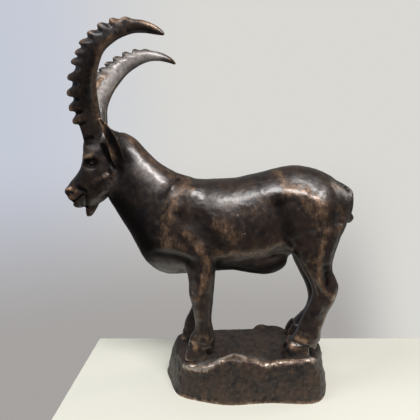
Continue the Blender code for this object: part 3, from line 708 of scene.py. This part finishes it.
# Rub, deep and bloom are painted with: line, half width, amount, and a side as above
RUBS_AND_HIGHLIGHTS = [
    ([(-66, -6, 185), (-60, -7, 178), (-48, -8, 166), (-33, -8, 156)], 9, 0.45),
    ([(-20, 150), (-29, 136), (-35, 118), (-38, 104)], 13, 0.46),
    ([(-33, 130), (-34, 114)], 17, 0.34),
    ([(-20, 110), (-8, 97), (-3, 86), (-2, 78), (-5, 65)], 7, 0.6),
    ([(-46, 98), (-32, 99), (-20, 97)], 7, 0.45),
    ([(62, 143), (70, 146), (79, 143), (88, 134)], 10, 0.52),
    ([(63, 145), (60, 152), (57, 160)], 6.5, 0.55),
    ([(78, 135), (85, 130), (91, 124)], 9, 0.55),
    ([(107, 130), (111, 120), (107, 110)], 6, 0.45),
    ([(86, 130), (90, 121), (93, 114)], 14, 0.42),
    ([(96, 114), (92, 98), (90, 84), (91, 68), (96, 59), (103, 54)], 5.5, 0.55),
    ([(84, 86), (87, 66)], 11, 0.3),
    ([(8, 116), (20, 106)], 13, 0.52),
    ([(20, 128), (50, 132)], 17, 0.28),
    ([(5, 92), (25, 90), (44, 92), (55, 100)], 9, 0.42),
    ([(104, 147), (109, 144)], 5, 0.6),
    ([(125, -4, 140), (124, -3, 134)], 3.5, 0.45),
    ([(-102, -9, 196), (-102, -14, 212), (-100, -24, 228), (-92, -35, 243)], 9, 0.3),
    ([(-111, -10, 192), (-115, -12, 204), (-116, -17, 216), (-113, -25, 229),
      (-107, -34, 243), (-97, -41, 256), (-82, -44, 267)], 6.5, 0.42),  # horn ridges
    ([(-123, 143), (-119, 143.5), (-115, 142)], 2.8, 0.85),  # nose
    ([(-121, 136.5), (-118, 137)], 3.4, 0.7),
    ([(-98, 149), (-94, 152), (-88, 155), (-81, 158)], 3.0, 0.42),
    ([(-86, 142), (-81, 150)], 6, 0.34),
    ([(-105.5, 169.5), (-101, 171.5), (-98, 171)], 2.4, 0.32),
    ([(-104, 173), (-100, 175)], 6, 0.36),
    ([(-88, -26, 200), (-86, -24, 194), (-83.5, -21, 182), (-81, -17, 172)], 3.0, 0.95),
    ([(-84, -26, 196), (-80, -22, 182), (-77, -17, 170)], 4.5, 0.45),
    ([(-91, -15, 200), (-91, -18, 214), (-90, -27, 226), (-86, -36, 236)], 6.5, 0.55),
    ([(-86, -36, 236), (-79, -45, 248), (-70, -49, 255), (-60, -49, 260)], 5.5, 0.55),
    ([(-72, -46, 267), (-60, -46, 269), (-48, -47, 268), (-38, -49, 263)], 4.5, 0.6),
    # painted highlight along the far horn's front edge, in copper and gold
    ([(-106, 12, 222), (-98, 21, 240), (-86, 30, 254), (-72, 36, 264)], 5, 0.75, 1),
]
FORELEG_RUBS = [
    ([(-6, 74), (-8, 64), (-9, 54)], 4.0, 0.5),
    ([(-15, 53), (-8, 49)], 3.0, 0.5),
    ([(-11, 45), (-10, 30), (-10, 20)], 4.5, 0.36),
    ([(-14, 12), (-12, 9)], 4.6, 0.9),
    ([(-3, 19), (0, 14)], 2.6, 0.5),
]
HIND_LEG_RUBS_AND_HIGHLIGHTS = [
    ([(104, 55), (100, 44), (96, 32), (93, 22)], 4.4, 0.46),
    # copper on the pastern, and a painted highlight on it
    ([(72, 17), (77, 16), (82, 15)], 4.6, 0.85),
    ([(69, 10), (76, 9), (82, 7)], 2.8, 0.6),
]
# Painted shade in creases, gaps and on sides turned from the light, with black patina in hollows
PATINA_AND_SHADE = [
    (UNDER_HORN, 5, 0.9),
    ([(-107, 193), (-100, 194), (-94, 193)], 8, 0.55),
    ([(-90, 181), (-86, 172), (-83, 166), (-81, 162)], 4.5, 1.0),
    ([(-102.5, 164.8), (-97.5, 164.8)], 7.5, 1.0),
    ([(-112, 144), (-106, 141)], 4.5, 0.8),
    ([(-118, 132.6), (-115, 134.2), (-111, 137.3), (-108, 138.6)], 2.2, 0.8),
    (CHIN_CORNER, 2.4, 0.6),
    ([(-124.5, 140.8), (-118, 140)], 1.8, 0.6),
    (SHOULDER_CREASE, 2.6, 0.6),
    ([(-83, -14, 158), (-77, -16, 164), (-74, -18, 172)], 4.5, 0.8),  # around the ear's root
    ([(-110, 160), (-104, 150), (-98, 142)], 8, 0.5),  # side of the muzzle
    (BEHIND_JAW, 7, 0.7),
    # painted shade on the lower neck and behind the ear
    ([(-78, 134), (-63, 116), (-52, 96)], 20, 0.95),
    ([(-75, 164), (-68, 150), (-58, 132)], 15, 0.6),
    ([(-82, 186), (-74, 179), (-71, 170)], 11, 0.9),
    ([(-97, 160), (-91, 154), (-93, 147)], 6.5, 0.6),
    ([(-17.5, 61), (-17, 57)], 2.0, 0.7, -1),
    # painted shade behind the shoulder and on the chest, flank, belly, thigh and rump
    (BEHIND_BLADE, 12, 0.5),
    ([(-12, 118), (-4, 110), (6, 99)], 11, 0.55),
    ([(56, 134), (60, 122), (66, 106)], 12, 0.7),
    ([(-46, 89), (-31, 88), (-20, 85), (-14, 78)], 7, 0.8),
    ([(6, 78), (40, 73), (64, 80)], 12, 0.9),
    ([(94, 128), (95, 120)], 7, 0.4),
    ([(50, 124), (54, 116)], 9, 0.45),
    ([(100, 142), (108, 135), (112, 128)], 8, 0.48),
    ([(66, 155), (80, 152), (92, 146)], 8, 0.35),
    # painted shadow in the hollows at the hooves
    ([(66, 7), (68, 4)], 5, 0.8, -1),
    ([(2, 11), (5, 4)], 4.5, 0.8, -1),
    # painted shade in the grooves at the hock and beside the tail, and behind the thigh
    ([(97, 80), (99, 66)], 4.5, 0.6),
    ([(116.5, -7, 145), (120, -6, 131), (118, -6, 116)], 4.0, 0.95),
    ([(109, 115), (111, 111)], 6, 0.6),
]
# Pale grey patina, and painted highlights and sheen
BLOOMS_AND_HIGHLIGHTS = [
    ([(-44, 84), (-30, 81), (-18, 77)], 8, 0.18),
    ([(-14, 66), (-13, 44), (-13, 24)], 5, 0.14),
    # painted highlight on the forehead
    ([(-99, 178), (-92, 182)], 6, 0.32),
    ([(-112, 131), (-108, 132)], 4.5, 0.22),
    ([(-86, 140), (-82, 147), (-79, 152)], 6, 0.26),
    # painted highlights on the left of the neck and the flank
    ([(-57, 163), (-49, 156), (-42, 149)], 10, 0.6, -1),
    ([(8, 133), (18, 130)], 8, 0.28, -1),
    # pale patina on the far horn's inner face, and painted light where it is lit
    ([(-88, 34, 246), (-72, 38, 261), (-50, 42, 265)], 11, 0.8, 1),
    ([(-100, 8, 205), (-102, 14, 225), (-89, 28, 246)], 13, 1.0, 1),
]
# The left half of the rock's rim, from front to back (x, y, h)
RIM = [(-23, -24, -10), (-15, -32, -7), (-8, -33, -8), (-1, -32, -7), (4, -31, -3), (12, -31, 1),
       (20, -26, 1), (30, -30, 0), (38, -30, -1), (46, -32, -4), (53, -32, -4), (64, -31, -2),
       (75, -30, -1), (84, -29, -1), (91, -28, -4), (94, -29, -16), (97, -29, -31)]


def carved(mesh, strokes):
    """The mesh with every stroke drawn on it."""
    for line, width, height, *side in strokes:
        points, normals = points_of(mesh), normals_of(mesh)
        lift = height * mask_of(points, normals, line, width, *side)
        set_points(mesh, points + normals * lift[:, None])
    return mesh


def set_points(mesh, points):
    mesh.vertices.foreach_set("co", (points * MM).ravel())
    mesh.update()


def shift_of(seed):
    return Vector((seed * 7.3, seed * 3.1, seed * 5.7))


def field(points, size, seed):
    """A smooth random field between about -1 and 1 with features of a size in millimetres."""
    shift = shift_of(seed)
    return np.array([noise.noise(Vector(point) + shift) for point in points / size])


def cells(points, size, seed):
    """0 at scattered points that lie about a size apart, 1 far from them."""
    shift = shift_of(seed)
    return np.array([noise.voronoi(Vector(point) + shift)[0][0] for point in points / size])


def hand_worked(mesh):
    """Slight flats and dents that fingers and files leave on the whole cast."""
    points, normals = points_of(mesh), normals_of(mesh)
    calm = 1 - 0.6 * ramp(points[:, 2] - BASE_HEIGHT, 175, 190)
    lift = sum(height * field(points, size, seed) for height, size, seed in DENTS)
    set_points(mesh, points + normals * (lift * calm)[:, None])
    return mesh


def add_eyeballs(bm):
    for side in (-1, 1):
        add_mass(bm, -99.8, 164.9, side * (EYE_SPREAD / 2 - 0.9), (EYE_RADIUS,) * 3)


def smooth_values(values, edges, rounds):
    """Averages a value, or rows of values, with the neighbours along the edges."""
    rows = values if values.ndim == 2 else values[:, None]
    a, b = edges[:, 0], edges[:, 1]
    count = np.bincount(edges.ravel(), minlength=len(rows)) + 1
    for _ in range(rounds):
        total = rows.copy()
        for k in range(rows.shape[1]):
            total[:, k] += np.bincount(a, rows[b, k], len(rows))
            total[:, k] += np.bincount(b, rows[a, k], len(rows))
        rows = total / count[:, None]
    return rows if values.ndim == 2 else rows[:, 0]


def edges_of(mesh):
    edges = np.empty(len(mesh.edges) * 2, dtype=np.int32)
    mesh.edges.foreach_get("vertices", edges)
    return edges.reshape(-1, 2)


def curvature(mesh, rounds):
    """How far each point stands out of its surroundings, in millimetres; hollows are negative."""
    points = points_of(mesh)
    calm = smooth_values(points, edges_of(mesh), rounds)
    return ((points - calm) * normals_of(mesh)).sum(axis=1)


def painted(mesh, rubs_and_highlights, patina_and_shade_lines, blooms_and_highlights, rub_gain, deep_gain):
    """Stores rub, deep and bloom on the points: the lines, then ridges and hollows."""
    points, normals, edges = points_of(mesh), normals_of(mesh), edges_of(mesh)
    layers = []
    for lines in (rubs_and_highlights, patina_and_shade_lines, blooms_and_highlights):
        layer = np.zeros(len(points))
        for line, width, amount, *side in lines:
            layer = np.maximum(layer, amount * mask_of(points, normals, line, width, *side))
        layers.append(layer)
    rub_and_highlight, patina_and_shade, bloom_and_highlight = layers
    fine, broad = curvature(mesh, FINE_ROUNDS), curvature(mesh, BROAD_ROUNDS)
    ridge = ramp(fine, 0.06, 0.45) * 0.4 + ramp(broad, 0.25, 1.6) * 0.5
    hollow = ramp(fine, -0.05, -0.3) * 0.8 + ramp(broad, -0.2, -1.2) * 0.6
    hollow *= 1 - 0.75 * ramp(points[:, 2] - BASE_HEIGHT, 222, 240)  # less painted shade in the hollows high up, where the horns catch the light
    rub_and_highlight = np.clip(rub_and_highlight + rub_gain * ridge - 0.6 * hollow - 0.8 * np.maximum(patina_and_shade - 0.5, 0), 0, 1)
    patina_and_shade = np.clip(patina_and_shade + deep_gain * hollow - 0.3 * ridge, 0, 1)
    for name, values in (("rub_and_highlight", rub_and_highlight), ("patina_and_shade", patina_and_shade), ("bloom_and_highlight", bloom_and_highlight)):
        stored = mesh.attributes.new(name, 'FLOAT', 'POINT')
        stored.data.foreach_set("value", smooth_values(values, edges, 2).astype(np.float32))
    return mesh


def ibex_mesh():
    """The animal: soft masses, crisp forms, blending, strokes, then slight dents all over."""
    soft = joined(blocked_in([trunk, muscles]), SOFT_VOXEL)
    soft = smoothed(soft, 1, SOFT_REACH, SOFT_VOXEL)
    crisp = [head, beard, ears, horns, forelegs, hind_legs, tail]
    skin = joined(blocked_in(crisp, soft), FINE_VOXEL)
    skin = smoothed(skin, body_weight(points_of(skin)), BLEND_REACH, FINE_VOXEL)
    skin = smoothed(skin, 0.5, 0.5 * FINISH_REACH, FINE_VOXEL)
    skin = carved(skin, BODY_STROKES + HEAD_STROKES + SPACE_STROKES
                  + both_legs(FORELEG_STROKES, FORE_SHIFT) + both_legs(HIND_LEG_STROKES, HIND_SHIFT)
                  + dots(HEAD_PITS, 1.3, -0.7))
    skin = hand_worked(skin)
    skin = smoothed(skin, 0.5, 0.5 * FINISH_REACH, FINE_VOXEL)
    skin = reduced(skin, IBEX_TRIANGLES)
    rubs_and_highlights = RUBS_AND_HIGHLIGHTS + both_legs(FORELEG_RUBS, FORE_SHIFT) + both_legs(HIND_LEG_RUBS_AND_HIGHLIGHTS, HIND_SHIFT)
    patina_and_shade_lines = PATINA_AND_SHADE + dots(HEAD_PITS, 1.5, 1.0)
    return painted(blocked_in([add_eyeballs], skin), rubs_and_highlights, patina_and_shade_lines, BLOOMS_AND_HIGHLIGHTS, 1.0, 1.2)


def broken_surface(mesh):
    """Broad breaks, smaller lumps and scattered pits; the top and the underside are calmer."""
    points, normals = points_of(mesh), normals_of(mesh)
    h = points[:, 2] - BASE_HEIGHT
    side = 1 - 0.65 * ramp(normals[:, 2], 0.3, 0.8)
    side = side * ramp(points[:, 2], 0, 3)
    lump = (1.2 * field(points, 19, 11) + 1.3 * (np.abs(field(points, 9, 12)) - 0.3)
            + 0.55 * field(points, 3, 13) + 0.2 * field(points, 1.3, 14))
    pit = -0.5 * ramp(cells(points, 5.3, 15), 0.3, 0.06) * ramp(field(points, 11, 16), -0.1, 0.3)
    edge = 0.9 * space_mask(points, RIM, 6.0, -1) * (0.9 + 1.2 * field(points, 7, 17))
    behind = [(x, y + 7, 0) for x, y, _ in RIM[1:-2]]
    edge = edge - 0.9 * space_mask(points, behind, 5.5, -1)
    below = -0.35 * ramp(h, -30, -34) * ramp(h, -37.5, -35)
    lift = side * (lump + pit + below) + edge
    set_points(mesh, points + normals * lift[:, None])
    return mesh


def rock_mesh():
    skin = joined(blocked_in([rock]), ROCK_VOXEL)
    skin = smoothed(skin, 1, 2.4, ROCK_VOXEL)
    skin = smoothed(skin, space_mask(points_of(skin), RIM, 9, -1), 3.2, ROCK_VOXEL)
    skin = broken_surface(skin)
    skin = smoothed(skin, 0.5, 0.5, ROCK_VOXEL)
    skin = cut_flat(reduced(skin, ROCK_TRIANGLES))
    # copper rubbed on the rim and the bottom edge; on the rim also a painted highlight
    rubs_and_highlights = [(RIM[:8], 4.4, 1.0, -1), (RIM[7:-2], 4.4, 0.6, -1),
            ([(-28, -24, -37), (-10, -33, -37), (16, -38, -37), (50, -36, -37), (86, -36, -37),
              (100, -27, -37)], 3.5, 0.62, -1)]
    # painted sheen on the top of the rim, just behind its edge
    sheen = [(x, y + 4, h + 1) for x, y, h in RIM[2:10]]
    blooms_and_highlights = [(sheen, 4.5, 0.75, -1), ([(-42, -14, -26), (-38, 20, -20)], 20, 0.55, 1),
              ([(-42, -14, -26), (-36, -14, -10)], 13, 0.55, -1),
              ([(106, -8, -28), (104, 20, -16)], 17, 0.5, 1),
              ([(105, -12, -26), (103, -6, -12)], 10, 0.4, -1)]
    # painted shadow on the rock's top where the hooves stand
    patina_and_shade_lines = [([(-20, -19, 0), (2, -19, 0)], 7, 0.6, -1), ([(-26, 19, 0), (-2, 19, 0)], 8, 0.6, 1),
             ([(64, -19, 0), (90, -19, 0)], 7, 0.7, -1), ([(74, 19, 0), (100, 19, 0)], 8, 0.6, 1)]
    return painted(skin, rubs_and_highlights, patina_and_shade_lines, blooms_and_highlights, 1.5, 0.95)


def shade(tree, kind, inputs=None, **settings):
    """A shader node with its inputs linked or set."""
    made = tree.nodes.new("ShaderNode" + kind)
    for key, value in settings.items():
        setattr(made, key, value)
    for key, value in (inputs or {}).items():
        if isinstance(value, bpy.types.NodeSocket):
            tree.links.new(value, made.inputs[key])
        else:
            made.inputs[key].default_value = value
    return made


def noise_of(tree, where, scale, detail=3.0, roughness=0.55):
    return shade(tree, "TexNoise", {"Vector": where, "Scale": scale, "Detail": detail,
                                    "Roughness": roughness}).outputs["Fac"]


def stored(tree, name):
    return shade(tree, "Attribute", attribute_name=name).outputs["Fac"]


def maths(tree, operation, a, b):
    return shade(tree, "Math", {0: a, 1: b}, operation=operation).outputs[0]


def spread(tree, value, low, high, to_low=0.0, to_high=1.0):
    """Maps low..high to to_low..to_high with a smooth step."""
    return shade(tree, "MapRange",
                 {"Value": value, "From Min": low, "From Max": high, "To Min": to_low,
                  "To Max": to_high}, interpolation_type='SMOOTHSTEP').outputs["Result"]


def blend_colour(tree, factor, a, b):
    return shade(tree, "Mix", {0: factor, 6: a, 7: b}, data_type='RGBA').outputs[2]


def blend_value(tree, factor, a, b):
    return shade(tree, "Mix", {0: factor, 2: a, 3: b}, data_type='FLOAT').outputs[0]


def bronze(name, palette, coarse):
    """Patinated bronze: mottled brown and blue-black, copper where rubbed and in some painted
    highlights, black in hollows and painted shade, and pale grey for bloomed patina and for painted
    highlights and sheen.

    coarse is the size of the mottling in millimetres.
    """
    material = bpy.data.materials.new(name)
    material.use_nodes = True
    tree = material.node_tree
    shader = tree.nodes["Principled BSDF"]
    where = shade(tree, "TexCoord").outputs["Object"]
    patches = noise_of(tree, where, 1000 / coarse, 4.0)
    mottle = noise_of(tree, where, 3300 / coarse, 4.0, 0.62)
    grain = noise_of(tree, where, GRAIN_SCALE, 3.0, 0.6)
    combed = shade(tree, "Mapping", {"Vector": where, "Scale": (1, 1, 0.16),
                                     "Rotation": (0.2, 0.5, 0.1)}).outputs[0]
    hair = noise_of(tree, combed, HAIR_SCALE, 2.0)
    speck = noise_of(tree, where, SPECK_SCALE, 5.0, 0.75)
    rub_and_highlight, patina_and_shade, bloom_and_highlight = (stored(tree, layer) for layer in ("rub_and_highlight", "patina_and_shade", "bloom_and_highlight"))

    # pale grey patina and painted highlights and sheen, broken up by the mottling
    film_and_highlight = maths(tree, 'MULTIPLY', bloom_and_highlight, spread(tree, mottle, 0.25, 0.65, 0.35, 1.0))
    wobble = maths(tree, 'ADD', spread(tree, mottle, 0.2, 0.8, -0.24, 0.24),
                   maths(tree, 'ADD', spread(tree, hair, 0.2, 0.8, -0.14, 0.14),
                         spread(tree, speck, 0.2, 0.8, -0.14, 0.14)))
    # copper rubbed through, and painted highlights
    bare_and_highlight = spread(tree, maths(tree, 'ADD', rub_and_highlight, wobble), -0.05, 1.05)

    colour = blend_colour(tree, spread(tree, patches, 0.3, 0.7), palette["cold"], palette["warm"])
    for factor, tint in ((spread(tree, mottle, 0.4, 0.8, 0, 0.6), "brown"),
                         (spread(tree, grain, 0.28, 0.46, 0.35, 0), "patina_and_shade"),
                         (film_and_highlight, "bloom_and_highlight"),
                         (spread(tree, bare_and_highlight, 0.0, 0.5), "brown"),
                         (spread(tree, bare_and_highlight, 0.25, 1.0), "copper"),
                         (spread(tree, bare_and_highlight, 0.7, 1.0, 0, 0.6), "gold"),
                         # black patina, and painted shade
                         (spread(tree, patina_and_shade, 0.0, 1.0, 0, 0.92), "patina_and_shade"),
                         # pale specks of dust, and painted sheen
                         (spread(tree, speck, 0.64, 0.71, 0, palette["dust_and_sheen"]), "bloom_and_highlight")):
        colour = blend_colour(tree, factor, colour, palette[tint])

    metal = blend_value(tree, film_and_highlight, palette["metal"], 0.35)
    metal = blend_value(tree, bare_and_highlight, metal, 0.55)
    rough = spread(tree, mottle, 0.3, 0.7, palette["rough"] - 0.05, palette["rough"] + 0.07)
    for factor, value in ((spread(tree, bare_and_highlight, 0.3, 1.0), palette["rubbed"]),
                          (spread(tree, patina_and_shade, 0, 1, 0, 0.8), 0.62),
                          (film_and_highlight, 0.55),
                          (spread(tree, grain, 0.55, 0.8, 0, 0.5), 0.55)):
        rough = blend_value(tree, factor, rough, value)
    coat = spread(tree, patina_and_shade, 0, 1, palette["coat"], 0.05)
    shine = spread(tree, patina_and_shade, 0, 1, palette["shine"], 0.12)
    shader.inputs["Coat Roughness"].default_value = 0.25

    bump = None
    for height, strength, distance in ((mottle, 0.35, 0.0008), (speck, 0.3, 0.0005),
                                       (grain, 0.25, 0.00024), (hair, 0.25, 0.00024)):
        inputs = {"Height": height, "Strength": strength, "Distance": distance}
        if bump is not None:
            inputs["Normal"] = bump
        bump = shade(tree, "Bump", inputs).outputs["Normal"]
    for socket, value in (("Base Color", colour), ("Metallic", metal), ("Roughness", rough),
                          ("Coat Weight", coat), ("Specular IOR Level", shine), ("Normal", bump)):
        tree.links.new(value, shader.inputs[socket])
    return material


IBEX_PALETTE = {"cold": (0.013, 0.011, 0.012, 1), "warm": (0.038, 0.022, 0.016, 1),
                "brown": (0.076, 0.046, 0.029, 1), "patina_and_shade": (0.004, 0.003, 0.003, 1),
                "bloom_and_highlight": (0.48, 0.43, 0.4, 1), "copper": (0.23, 0.133, 0.079, 1),
                "gold": (0.46, 0.3, 0.18, 1), "metal": 0.3, "rough": 0.38, "coat": 0.55,
                "rubbed": 0.41, "shine": 0.6, "dust_and_sheen": 0.15}
# The rock's gold is pale grey: rubbed metal on the rim, and a painted highlight there
ROCK_PALETTE = {"cold": (0.018, 0.017, 0.017, 1), "warm": (0.055, 0.036, 0.027, 1),
                "brown": (0.11, 0.07, 0.048, 1), "patina_and_shade": (0.006, 0.005, 0.004, 1),
                "bloom_and_highlight": (0.15, 0.152, 0.138, 1), "copper": (0.22, 0.15, 0.105, 1),
                "gold": (0.6, 0.53, 0.46, 1), "metal": 0.3, "rough": 0.52, "coat": 0.08,
                "rubbed": 0.28, "shine": 0.34, "dust_and_sheen": 0.7}


def add_piece(name, mesh, material):
    """A piece that stands for the solid and moves with it."""
    mesh.name = name
    mesh.materials.clear()
    mesh.materials.append(material)
    mesh.shade_smooth()
    piece = placed(name, mesh)
    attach(piece, "root")
    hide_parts("ibex_figurine")
    return piece


def plain(name, colour, roughness):
    material = bpy.data.materials.new(name)
    material.use_nodes = True
    shader = material.node_tree.nodes["Principled BSDF"]
    shader.inputs["Base Color"].default_value = (*colour, 1)
    shader.inputs["Roughness"].default_value = roughness
    return material


def add_table():
    """A pale table top under the figure; its left and back edges show."""
    low, high = np.array(TABLE_LOW) * MM, np.array(TABLE_HIGH) * MM
    bm = bmesh.new()
    bmesh.ops.create_cube(bm, size=1, matrix=Matrix.Translation((low + high) / 2)
                          @ Matrix.Diagonal((*(high - low), 1)))
    bmesh.ops.bevel(bm, geom=bm.edges[:], offset=TABLE_BEVEL * MM, segments=3, affect='EDGES')
    mesh = bpy.data.meshes.new("table_top")
    bm.to_mesh(mesh)
    bm.free()
    mesh.materials.append(plain("pale_table", TABLE_COLOUR, 0.55))
    table = placed("table_top", mesh)


def add_lamp(name, place, target, size, power, colour):
    lamp = bpy.data.lights.new(name, 'AREA')
    lamp.shape = 'RECTANGLE'
    lamp.size, lamp.size_y = size
    lamp.energy = power
    lamp.color = colour
    holder = placed(name, lamp)
    holder.location = place
    holder.rotation_euler = (Vector(target) - Vector(place)).to_track_quat('-Z', 'Y').to_euler()


def add_room():
    """A pale room: seen as it is by the camera and in reflections, and as plain soft light."""
    world = bpy.data.worlds.new("room")
    bpy.context.scene.world = world
    world.use_nodes = True
    tree = world.node_tree
    tree.nodes.clear()
    direction = shade(tree, "TexCoord").outputs["Generated"]
    split = shade(tree, "SeparateXYZ", {0: direction})
    height = spread(tree, split.outputs["Z"], -0.42, 0.02)
    across = spread(tree, split.outputs["X"], -0.45, 0.0)
    wall = blend_colour(tree, across, WALL_LEFT, WALL_RIGHT)
    low = blend_colour(tree, spread(tree, split.outputs["X"], 0.28, 0.45), WALL_LOW, WALL_RIGHT)
    wall = blend_colour(tree, height, low, wall)
    ahead = spread(tree, split.outputs["Y"], -0.25, 0.75, ROOM_BEHIND_CAMERA, ROOM_BEYOND)
    dim = maths(tree, 'MULTIPLY', ahead, spread(tree, split.outputs["X"], 0.2, 0.9, 1.0, 0.3))
    path = shade(tree, "LightPath")
    seen = shade(tree, "Background", {"Color": wall, "Strength": 1.0})
    mirrored_room = shade(tree, "Background", {"Color": wall, "Strength": dim})
    lit = shade(tree, "Background", {"Color": ROOM_TINT, "Strength": ROOM_LIGHT})
    soft = shade(tree, "MixShader", {0: path.outputs["Is Glossy Ray"], 1: lit.outputs[0],
                                     2: mirrored_room.outputs[0]})
    both = shade(tree, "MixShader", {0: path.outputs["Is Camera Ray"], 1: soft.outputs[0],
                                     2: seen.outputs[0]})
    shade(tree, "OutputWorld", {"Surface": both.outputs[0]})


def add_camera():
    data = bpy.data.cameras.new("camera")
    data.sensor_width = CAMERA_SENSOR
    data.lens = CAMERA_LENS
    camera = placed("camera", data)
    camera.location = CAMERA_PLACE
    camera.rotation_euler = (math.radians(90 - CAMERA_DOWN), 0, 0)
    bpy.context.scene.camera = camera


add_camera()
add_room()
add_table()
for lamp_row in LAMPS:
    add_lamp(*lamp_row)
add_piece("ibex", ibex_mesh(), bronze("ibex_bronze", IBEX_PALETTE, 16))
add_piece("rock", rock_mesh(), bronze("rock_bronze", ROCK_PALETTE, 13))

bpy.context.scene.view_settings.view_transform = 'Standard'
